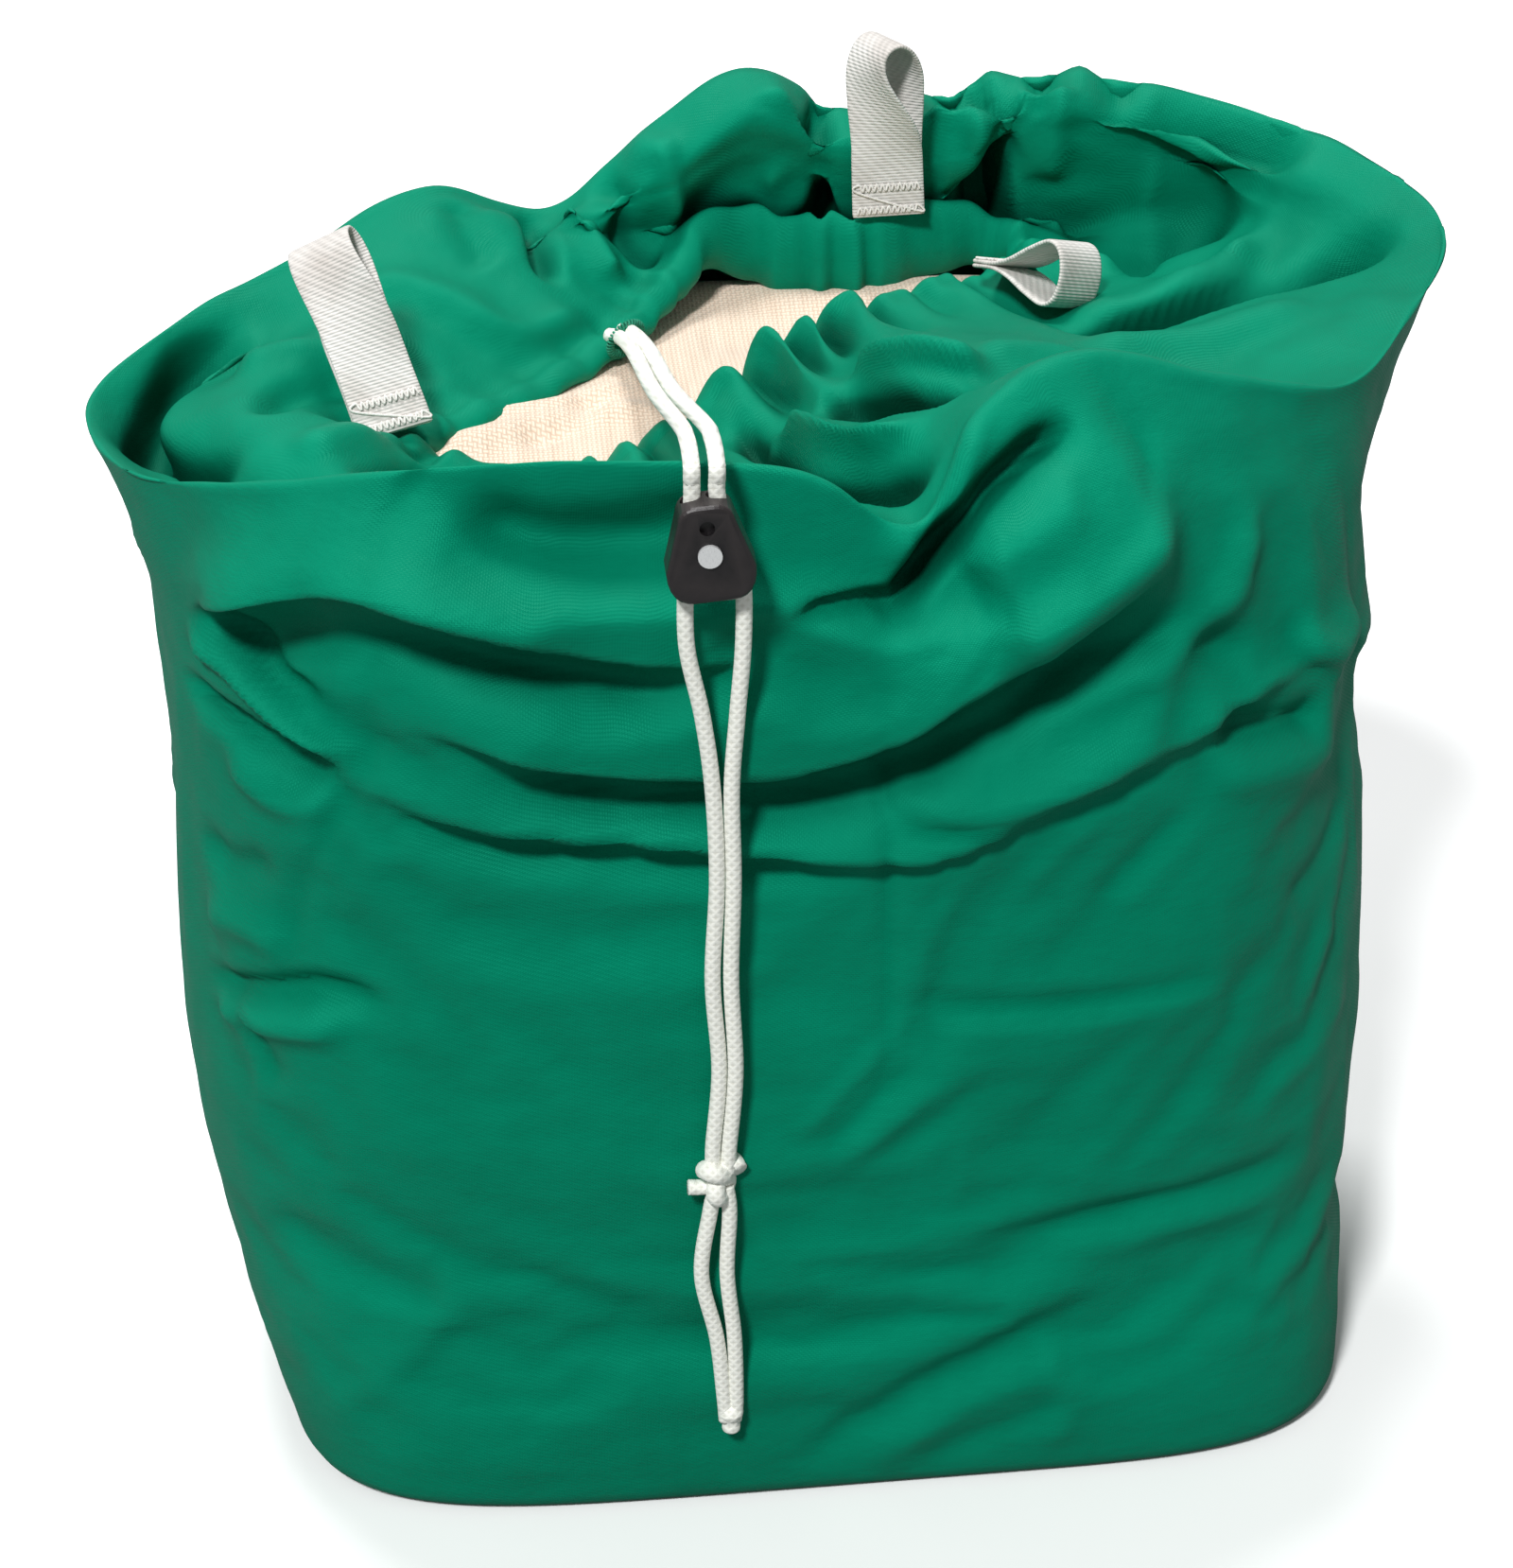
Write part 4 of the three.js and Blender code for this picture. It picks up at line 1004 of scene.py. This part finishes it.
def linen_piece():
    """A block of folded linen with a few soft folds on top."""
    rim = around([s[0] for s in SPOKES], 240)
    low, high = (np.array(c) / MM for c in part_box("folded_linen"))
    inset = 16.0
    middle = np.array([15.0, 0.0, 0.0])
    rows = [wall_ring(low[2], rim, inset) * [0.05, 0.05, 1] + middle * 0.95, wall_ring(low[2], rim, inset + 6)]
    rows += [wall_ring(z, rim, inset - 4) for z in (low[2] + 8, 60, 120, 180)] + [wall_ring(232, rim, inset)]
    top = high[2] + 3
    for inset_at, z, back in ((inset + 7, 282, 5), (inset + 10, top - 14, 9), (inset + 16, top - 2, 11)):
        ring = wall_ring(SLACK_FROM_Z, rim, inset_at)
        ring[:, 1] += back
        ring[:, 2] = z
        rows.append(ring)
    edge = rows[-1]
    for share in (0.75, 0.5, 0.25, 0.02):
        ring = middle + (edge - middle) * [share, share, 1]
        ring[:, 2] = top
        rows.append(ring)
    surface, index = loft(rows, [60, 8, 30, 30, 30, 30, 30, 12, 8, 4, 2.2, 2.2, 2.2])
    surface[:, :, 2] = np.maximum(surface[:, :, 2], low[2])
    x, y = surface[:, :, 0], surface[:, :, 1]
    flat = np.stack([x.ravel(), y.ravel()], axis=1)
    lift = np.zeros(len(flat))
    for path, height, left, right in (
        ([(-110, -20), (-70, -2), (-30, 10)], 5, 9, 5),
        ([(-96, 4), (-66, 12), (-38, 30)], 4, 6, 4),
        ([(-80, -14), (-58, 2), (-52, 22)], -4, 5, 5),
        ([(-40, -10), (0, 30), (30, 60)], 2.5, 14, 10),
        ([(-20, 60), (20, 70), (80, 84)], -2.5, 12, 12),
        ([(0, 96), (40, 92), (84, 98)], 3, 9, 7),
        ([(-120, -38), (-70, -46), (-30, -44), (0, -16)], -7, 15, 15),
    ):
        lift += stroke(flat, path, height, left, right)
    high_up = smoothstep((surface[:, :, 2] - (top - 30)) / 25)
    surface[:, :, 2] += lift.reshape(x.shape) * high_up
    rows_n, columns = surface.shape[:2]
    faces = grid_faces(rows_n, columns, True)
    length = np.concatenate([np.zeros((1, columns)), np.cumsum(np.linalg.norm(np.diff(surface, axis=0), axis=2), axis=0)])
    shown = surface[:, :, 2] > top - 26
    u = np.stack([np.where(shown, x, np.arange(columns)[None, :] * 5.0), np.where(shown, y, length)], axis=2) * MM
    r, c = np.meshgrid(np.arange(rows_n - 1), np.arange(columns), indexing="ij")
    r, c, after = r.ravel(), c.ravel(), (c.ravel() + 1) % columns
    uv = np.stack([u[r, c], u[r, after], u[r + 1, after], u[r + 1, c]], axis=1).reshape(-1, 2)
    ends = [surface[0].mean(axis=0), surface[-1].mean(axis=0)]
    vertices = np.vstack([surface.reshape(-1, 3), ends])
    bottom, crown = rows_n * columns, rows_n * columns + 1
    fans = [[bottom, (k + 1) % columns, k] for k in range(columns)]
    last = (rows_n - 1) * columns
    fans += [[crown, last + k, last + (k + 1) % columns] for k in range(columns)]
    corners = np.vstack([uv, np.zeros((6 * columns, 2))])
    piece = make_mesh("linen_stack", vertices, faces.tolist() + fans, corners, LINEN)
    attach(piece, "bag")
    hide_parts("folded_linen")
    return piece


linen = linen_piece()


# ---------------------------------------------------------------- build the cloth

grid, index, run, girth, slit_painted_shade = shape_bag()
grid = crumple(grid, index)
grid = settle(grid, index, linen, 18)
grid = press_behind_cords(grid)
grid = relax(grid, 1, index[BASE_ROWS])
grid[:, :, 2] = np.maximum(grid[:, :, 2], 0)
cloth = bag_cloth(grid, run, girth, slit_painted_shade)
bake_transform(cloth)
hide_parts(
    "base_panel", "front_panel", "back_panel", "front_slack_panel", "back_slack_panel",
    "front_collar", "back_collar", "mouth_hem",
)


# ---------------------------------------------------------------- drawcord

CORD_R = 2.5
lock_low, lock_high = (np.array(c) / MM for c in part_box("cord_lock_body"))
lock_centre = (lock_low + lock_high) / 2
knot_centre = sum(np.array(c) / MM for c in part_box("strand_knot")) / 2
tail_end = sum(np.array(c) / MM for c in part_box("end_knot")) / 2
pivot = next(np.array(j["pos_m"]) / MM for j in frame["joints"] if j["name"] == "drawcord_swing")
CORD_Y = pivot[1]
LOCK_LEAN = math.radians(5)
SPREAD_TOP, SPREAD_BOTTOM = 3.7, 8.6
HALF_LOCK = 15.5
DEPTH_IN_LOCK = 2.5


def braid(run, angle):
    return 1 + 0.022 * np.cos(6 * angle + 1.9 * run) * np.cos(6 * angle - 1.9 * run)


def in_lock(x, y, z):
    """A point of the cord lock's own axes, in the frame."""
    cos, sin = math.cos(LOCK_LEAN), math.sin(LOCK_LEAN)
    return [lock_centre[0] + x * cos - z * sin, CORD_Y - DEPTH_IN_LOCK + y, lock_centre[2] + x * sin + z * cos]


def through_lock(side, z):
    share = 0.5 - z / (2 * HALF_LOCK)
    x = SPREAD_TOP + (SPREAD_BOTTOM - SPREAD_TOP) * share
    return in_lock(side * x, DEPTH_IN_LOCK, z)


def cord(name, points, step=0.8):
    return tube(name, even_spline(points, step), CORD_R, CORD, 20, braid)


exit_box = [np.array(c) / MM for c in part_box("buttonhole_stitching")]
exit_centre = (exit_box[0] + exit_box[1]) / 2


def lead(side):
    """From the buttonhole over the mouth and the front rim."""
    x = in_lock(side * SPREAD_TOP, 0, HALF_LOCK)[0]
    start = exit_centre + [side * 2.2 - 3.0, side * 1.8 + 2.5, 1.0]
    name = "left" if side < 0 else "right"
    piece = cord(f"drawcord_lead_{name}", [
        start,
        start + [3.5, -7.0, 2.0],
        [-38 + side * 2.7, -8, 358],
        [-34.5 + side * 3.0, -62, 368.5],
        [x - 0.5, -118, 382.5],
        [x, -138, 387.5],
        [x, -151, 389],
        [x, CORD_Y - 0.5, pivot[2]],
        [x, CORD_Y, pivot[2] - 4],
    ])
    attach(piece, "top")
    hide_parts(f"{name}_cord_lead")
    return piece


def upper(side):
    """From the rim into the lock."""
    name = "left" if side < 0 else "right"
    x = in_lock(side * SPREAD_TOP, 0, HALF_LOCK)[0]
    piece = cord(f"drawcord_upper_{name}", [
        [x, CORD_Y, pivot[2] + 1],
        [x, CORD_Y, pivot[2] - 2],
        through_lock(side, HALF_LOCK),
        through_lock(side, HALF_LOCK / 2),
        through_lock(side, 1),
    ], 0.5)
    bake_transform(piece)
    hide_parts(f"{name}_cord_upper")
    return piece


def lower(side):
    """From the lock's foot to the knot, closing from a V to a pair."""
    name = "left" if side < 0 else "right"
    x = lock_centre[0]
    top_of_knot = knot_centre[2] + 5
    piece = cord(f"drawcord_lower_{name}", [
        through_lock(side, -1),
        through_lock(side, -HALF_LOCK / 2),
        through_lock(side, -HALF_LOCK),
        [x + 1.5 + side * 8.3, CORD_Y, 328],
        [x + 2.8 + side * 5.2, CORD_Y, 305],
        [x + 3.4 + side * 2.9, CORD_Y, 280],
        [x + 4.2 + side * 2.55, CORD_Y, 248],
        [x + 3.0 + side * 2.9, CORD_Y, 212],
        [x + 4.6 + side * 2.55, CORD_Y - side * 0.4, 178],
        [knot_centre[0] + side * 2.6, CORD_Y, top_of_knot + 6],
        [knot_centre[0] + side * 2.0, CORD_Y, top_of_knot - 3],
    ])
    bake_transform(piece)
    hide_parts(f"{name}_cord_lower")
    return piece


def knot():
    """An overhand knot tied in the doubled cord."""
    size = 5.6
    loop = []
    for t in np.linspace(0.16, 0.84, 15):
        a = 2 * math.pi * t
        loop.append([
            size * (math.sin(a) + 1.5 * math.sin(2 * a)) / 2.3,
            -size * 0.62 * math.sin(3 * a),
            size * (math.cos(a) - 1.5 * math.cos(2 * a)) / 2.1,
        ])
    path = even_spline(np.array(loop) + knot_centre, 0.5)
    piece = tube("drawcord_knot", path, 3.1, CORD, 22, braid)
    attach(piece, "drawcord")
    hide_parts("strand_knot")
    stub = cord("drawcord_knot_stub", [
        knot_centre + [-1, 0.5, -3],
        knot_centre + [-6, 0.2, -3.5],
        knot_centre + [-10.5, -0.3, -3],
    ], 0.5)
    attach(stub, "drawcord")


def tail(side):
    """One of the two tails under the knot."""
    name = "left" if side < 0 else "right"
    bow = 4.9 if side < 0 else 3.4
    x, z = knot_centre[0], knot_centre[2]
    low = tail_end[2]
    piece = cord(f"drawcord_tail_{name}", [
        [x + side * 1.6, CORD_Y, z - 3],
        [x - 0.5 + side * 3.2, CORD_Y, z - 14],
        [x - 1.6 + side * bow, CORD_Y, z - 38],
        [x + 1.2 + side * 2.9, CORD_Y, z - 64],
        [tail_end[0] + side * 2.0, CORD_Y, low + 8],
        [tail_end[0] + side * 1.4, CORD_Y, low - 1],
    ])
    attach(piece, "drawcord")
    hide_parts(f"{name}_cord_tail")


def end_knot():
    """The tails' heat-sealed ends, bound together."""
    path = even_spline([tail_end + [0, 0, 5.5], tail_end + [0.4, 0, 0], tail_end + [0.2, 0, -6]], 0.5)
    share = np.linspace(0, 1, len(path))
    radius = 2.6 + 1.5 * np.exp(-((share - 0.3) / 0.2) ** 2) + 0.5 * np.exp(-((share - 0.8) / 0.15) ** 2)
    radius *= np.sqrt(np.clip(np.minimum(share, 1 - share) / 0.06, 0.05, 1))
    piece = tube("drawcord_end_knot", path, radius, CORD, 20, braid)
    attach(piece, "drawcord")
    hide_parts("end_knot")


for side in (-1, 1):
    lead(side)
    upper(side)
    lower(side)
    tail(side)
knot()
end_knot()


def channel_cord(grid, index):
    """The cord inside the hem, along the middle of the channel."""
    inside = grid[index[HEM_ROW + 1]:].mean(axis=0)
    for _ in range(2):
        inside = (np.roll(inside, 1, axis=0) + inside + np.roll(inside, -1, axis=0)) / 3
    piece = tube("drawcord_in_channel", inside[::2], 1.0, CORD, 12, None, closed=True)
    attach(piece, "top")
    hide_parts("channel_cord")


channel_cord(grid, index)


# ---------------------------------------------------------------- hanging loops

WEBBING_WIDTH = 25.0
WEBBING_T = 1.5


def webbing_loop(name, body, node, foot, along, across, length, opening, twist, bend=0.0):
    """A strip of webbing folded back on itself. Its opening turns by twist from the sewn end to the top, and it
    bends just above the sewn end."""
    foot = np.array(foot, float)
    along = np.array(along, float) / np.linalg.norm(along)
    across = np.array(across, float)
    across -= along * (across @ along)
    across /= np.linalg.norm(across)
    thick = np.cross(across, along)
    ply = WEBBING_T / 2 + 0.05
    half = [(0, ply), (0.22, ply), (0.4, opening * 0.28), (0.62, opening * 0.72), (0.82, opening), (0.95, opening * 0.72)]
    outline = [(s * length, h) for s, h in half] + [(length, 0)] + [(s * length, -h) for s, h in reversed(half)]
    centre = spline(outline, 120)
    tangent = np.gradient(centre, axis=0)
    tangent /= np.linalg.norm(tangent, axis=1)[:, None]
    out = np.stack([-tangent[:, 1], tangent[:, 0]], axis=1)
    run = np.concatenate([[0], np.cumsum(np.linalg.norm(np.diff(centre, axis=0), axis=1))])
    lanes = 18
    w = np.linspace(-0.5, 0.5, lanes + 1) * WEBBING_WIDTH
    selvedge = 1 - 0.35 * smoothstep((np.abs(w) / (WEBBING_WIDTH / 2) - 0.88) / 0.12)
    sheets = []
    for sign in (1, -1):
        offset = sign * WEBBING_T / 2 * selvedge[None, :]
        s = centre[:, 0, None] + out[:, 0, None] * offset
        h = centre[:, 1, None] + out[:, 1, None] * offset
        turn = twist * smoothstep((s / length - 0.25) / 0.75)
        width_dir = np.cos(turn)[..., None] * across + np.sin(turn)[..., None] * thick
        thick_dir = -np.sin(turn)[..., None] * across + np.cos(turn)[..., None] * thick
        squeeze = 1 - 0.08 * smoothstep(s / length)
        bow = bend * (s / length) ** 2
        sheet = foot + s[..., None] * along + h[..., None] * thick_dir
        sheet = sheet + (w[None, :] * squeeze)[..., None] * width_dir + bow[..., None] * thick
        sheets.append(sheet)
    top, under = sheets
    rows, columns = top.shape[:2]
    vertices = np.vstack([top.reshape(-1, 3), under.reshape(-1, 3)])
    quads = grid_faces(rows, columns, False)
    count = rows * columns
    faces = quads[:, ::-1].tolist() + (quads + count).tolist()
    rim = [c for c in range(columns)] + [r * columns + columns - 1 for r in range(1, rows)]
    rim += [count - 1 - c for c in range(1, columns)] + [r * columns for r in range(rows - 2, 0, -1)]
    faces += [[a, b, b + count, a + count] for a, b in zip(rim, rim[1:] + rim[:1])]
    uv_by_vertex = np.stack([np.broadcast_to(w, (rows, columns)), np.broadcast_to(run[:, None], (rows, columns))], axis=2)
    uv_by_vertex = np.vstack([uv_by_vertex.reshape(-1, 2)] * 2) * MM
    uv = np.vstack([uv_by_vertex[f] for f in faces])
    piece = make_mesh(name, vertices, faces, uv, WEBBING)
    crisp = piece.modifiers.new("edges", "BEVEL")
    crisp.width = 0.25 * MM
    crisp.limit_method = "ANGLE"
    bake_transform(piece)
    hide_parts(node)
    return foot, along, across, thick


def zigzag_tack(name, node, foot, along, across, thick):
    """Bar tacks: two rows of zigzag thread that sew the loop's end to the hem."""
    path = []
    for row in (2.5, 10.5):
        for k, w in enumerate(np.linspace(-0.44, 0.44, 23) * WEBBING_WIDTH):
            step = 1.3 if k % 2 else -1.3
            path.append(foot + along * (row + step) + across * w + thick * (WEBBING_T + 0.35))
    piece = tube(name, even_spline(path, 0.6), 0.42, WHITE_THREAD, 6)
    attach(piece, "top")
    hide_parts(node)


LOOPS = {
    "left": dict(foot=(-118, -30, 343), along=(-19, 36, 50), across=(1, 0.3, 0), length=68, opening=6, twist=0.7, bend=-7),
    "back": dict(foot=(55, 101, 358), along=(-2, 5, 60), across=(1, 0, 0), length=62, opening=7.5, twist=1.2, bend=0),
    "right": dict(foot=(86, 56, 357), along=(24, -24, 5), across=(-0.6, -0.7, 0.35), length=36, opening=10.5, twist=0.0, bend=0),
}
for side, place in LOOPS.items():
    axes = webbing_loop(f"{side}_webbing_loop", f"{side}_hanging_loop", f"{side}_loop", **place)
    zigzag_tack(f"{side}_loop_stitching", f"{side}_loop_tack", *axes)


# ---------------------------------------------------------------- buttonhole and hem stitching

def buttonhole():
    """Close satin stitches round the slit that the cords come out of."""
    low, high = exit_box
    along = np.array([0.657, 0.754, 0.0])
    inward = np.array([0.754, -0.657, 0.0])
    centre = exit_centre + inward * 0.5
    path = []
    for k in range(181):
        a = 2 * math.pi * k / 60
        turn = 2 * math.pi * k / 180
        ring = along * 8.6 * math.cos(turn) + np.array([0, 0, 4.6]) * math.sin(turn)
        outward = along * math.cos(turn) + np.array([0, 0, 1.0]) * math.sin(turn)
        wrap = 1.5 * math.cos(a * 12)
        path.append(centre + ring + outward * wrap + inward * 0.8 * math.sin(a * 12))
    piece = tube("buttonhole_thread", even_spline(path[:-1], 0.6, closed=True), 0.4, GREEN_THREAD, 6, None, True)
    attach(piece, "top")
    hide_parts("buttonhole_stitching")


buttonhole()


# ---------------------------------------------------------------- cord lock

def lock_spring():
    """The coil behind the button."""
    wire = 0.3
    low, high = (np.array(c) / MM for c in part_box("cord_lock_spring"))
    centre, radius = (low + high) / 2, (high[0] - low[0]) / 2 - wire
    share = np.linspace(0, 1, 240)
    angle = 2 * math.pi * 5.5 * share
    path = np.stack([
        centre[0] + radius * np.cos(angle),
        low[1] + wire + (high[1] - low[1] - 2 * wire) * share,
        centre[2] + radius * np.sin(angle),
    ], axis=1)
    piece = tube("lock_spring_coil", path, wire, METAL, 8)
    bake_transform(piece)
    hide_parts("cord_lock_spring")


lock_spring()
for node, material in (("cord_lock_body", PLASTIC), ("cord_lock_button", METAL)):
    part = frame["nodes"][node]
    part.data.materials.clear()
    part.data.materials.append(material)


# ---------------------------------------------------------------- stage, light and camera

def stage():
    half = 6.0
    floor = make_mesh("floor", np.array([[-half, -half, 0], [half, -half, 0], [half, half, 0], [-half, half, 0]]) / MM,
                      [[0, 1, 2, 3]])
    floor.location.z = -0.0004
    n = Nodes("floor")
    place = n.add("ShaderNodeTexCoord").outputs["Object"]
    pale = n.ramp(n.noise(place, 3.0), (0.3, colour(247, 248, 248)), (0.7, colour(252, 253, 253)))
    mix = n.add("ShaderNodeMix", {"data_type": "RGBA"})
    n.join(n.add("ShaderNodeLightPath").outputs["Is Camera Ray"], mix, "0")
    n.join(colour(120, 124, 124), mix, "6")
    n.join(pale, mix, "7")
    n.set(Base_Color=mix.outputs[2], Roughness=0.9)
    floor.data.materials.append(n.material)


def sun_light(name, direction, strength, spread):
    """A large distant light, from a direction; spread is its width in degrees."""
    light = bpy.data.lights.new(name, "SUN")
    light.energy = strength
    light.angle = math.radians(spread)
    lamp = bpy.data.objects.new(name, light)
    lamp.rotation_euler = Vector(direction).to_track_quat("Z", "Y").to_euler()
    bpy.context.scene.collection.objects.link(lamp)


def studio_world(strength):
    """An even surround that looks white and lights with the given strength."""
    world = bpy.data.worlds.new("studio")
    world.use_nodes = True
    tree = world.node_tree
    seen = tree.nodes.new("ShaderNodeLightPath").outputs["Is Camera Ray"]
    level = tree.nodes.new("ShaderNodeMapRange")
    level.inputs["To Min"].default_value = strength
    level.inputs["To Max"].default_value = 1.0
    tree.links.new(seen, level.inputs["Value"])
    tree.links.new(level.outputs["Result"], tree.nodes["Background"].inputs["Strength"])
    tree.nodes["Background"].inputs["Color"].default_value = (1, 1, 1, 1)
    bpy.context.scene.world = world


def camera():
    azimuth, elevation, distance = math.radians(-5), math.radians(30), 1.4
    target = Vector((0, 0, 0.190))
    back = Vector((
        math.sin(azimuth) * math.cos(elevation), -math.cos(azimuth) * math.cos(elevation), math.sin(elevation)
    ))
    data = bpy.data.cameras.new("camera")
    data.lens = 92.8
    data.sensor_width = 36
    data.clip_start = 0.05
    eye = bpy.data.objects.new("camera", data)
    eye.location = target + back * distance
    eye.rotation_euler = (-back).to_track_quat("-Z", "Y").to_euler()
    bpy.context.scene.collection.objects.link(eye)
    bpy.context.scene.camera = eye


stage()
sun_light("overhead", (-0.1, 0.3, 1.0), 2.1, 14)
sun_light("front", (-0.35, -0.72, 0.95), 2.9, 9)
camera()

studio_world(0.28)
bpy.context.scene.view_settings.view_transform = "Standard"
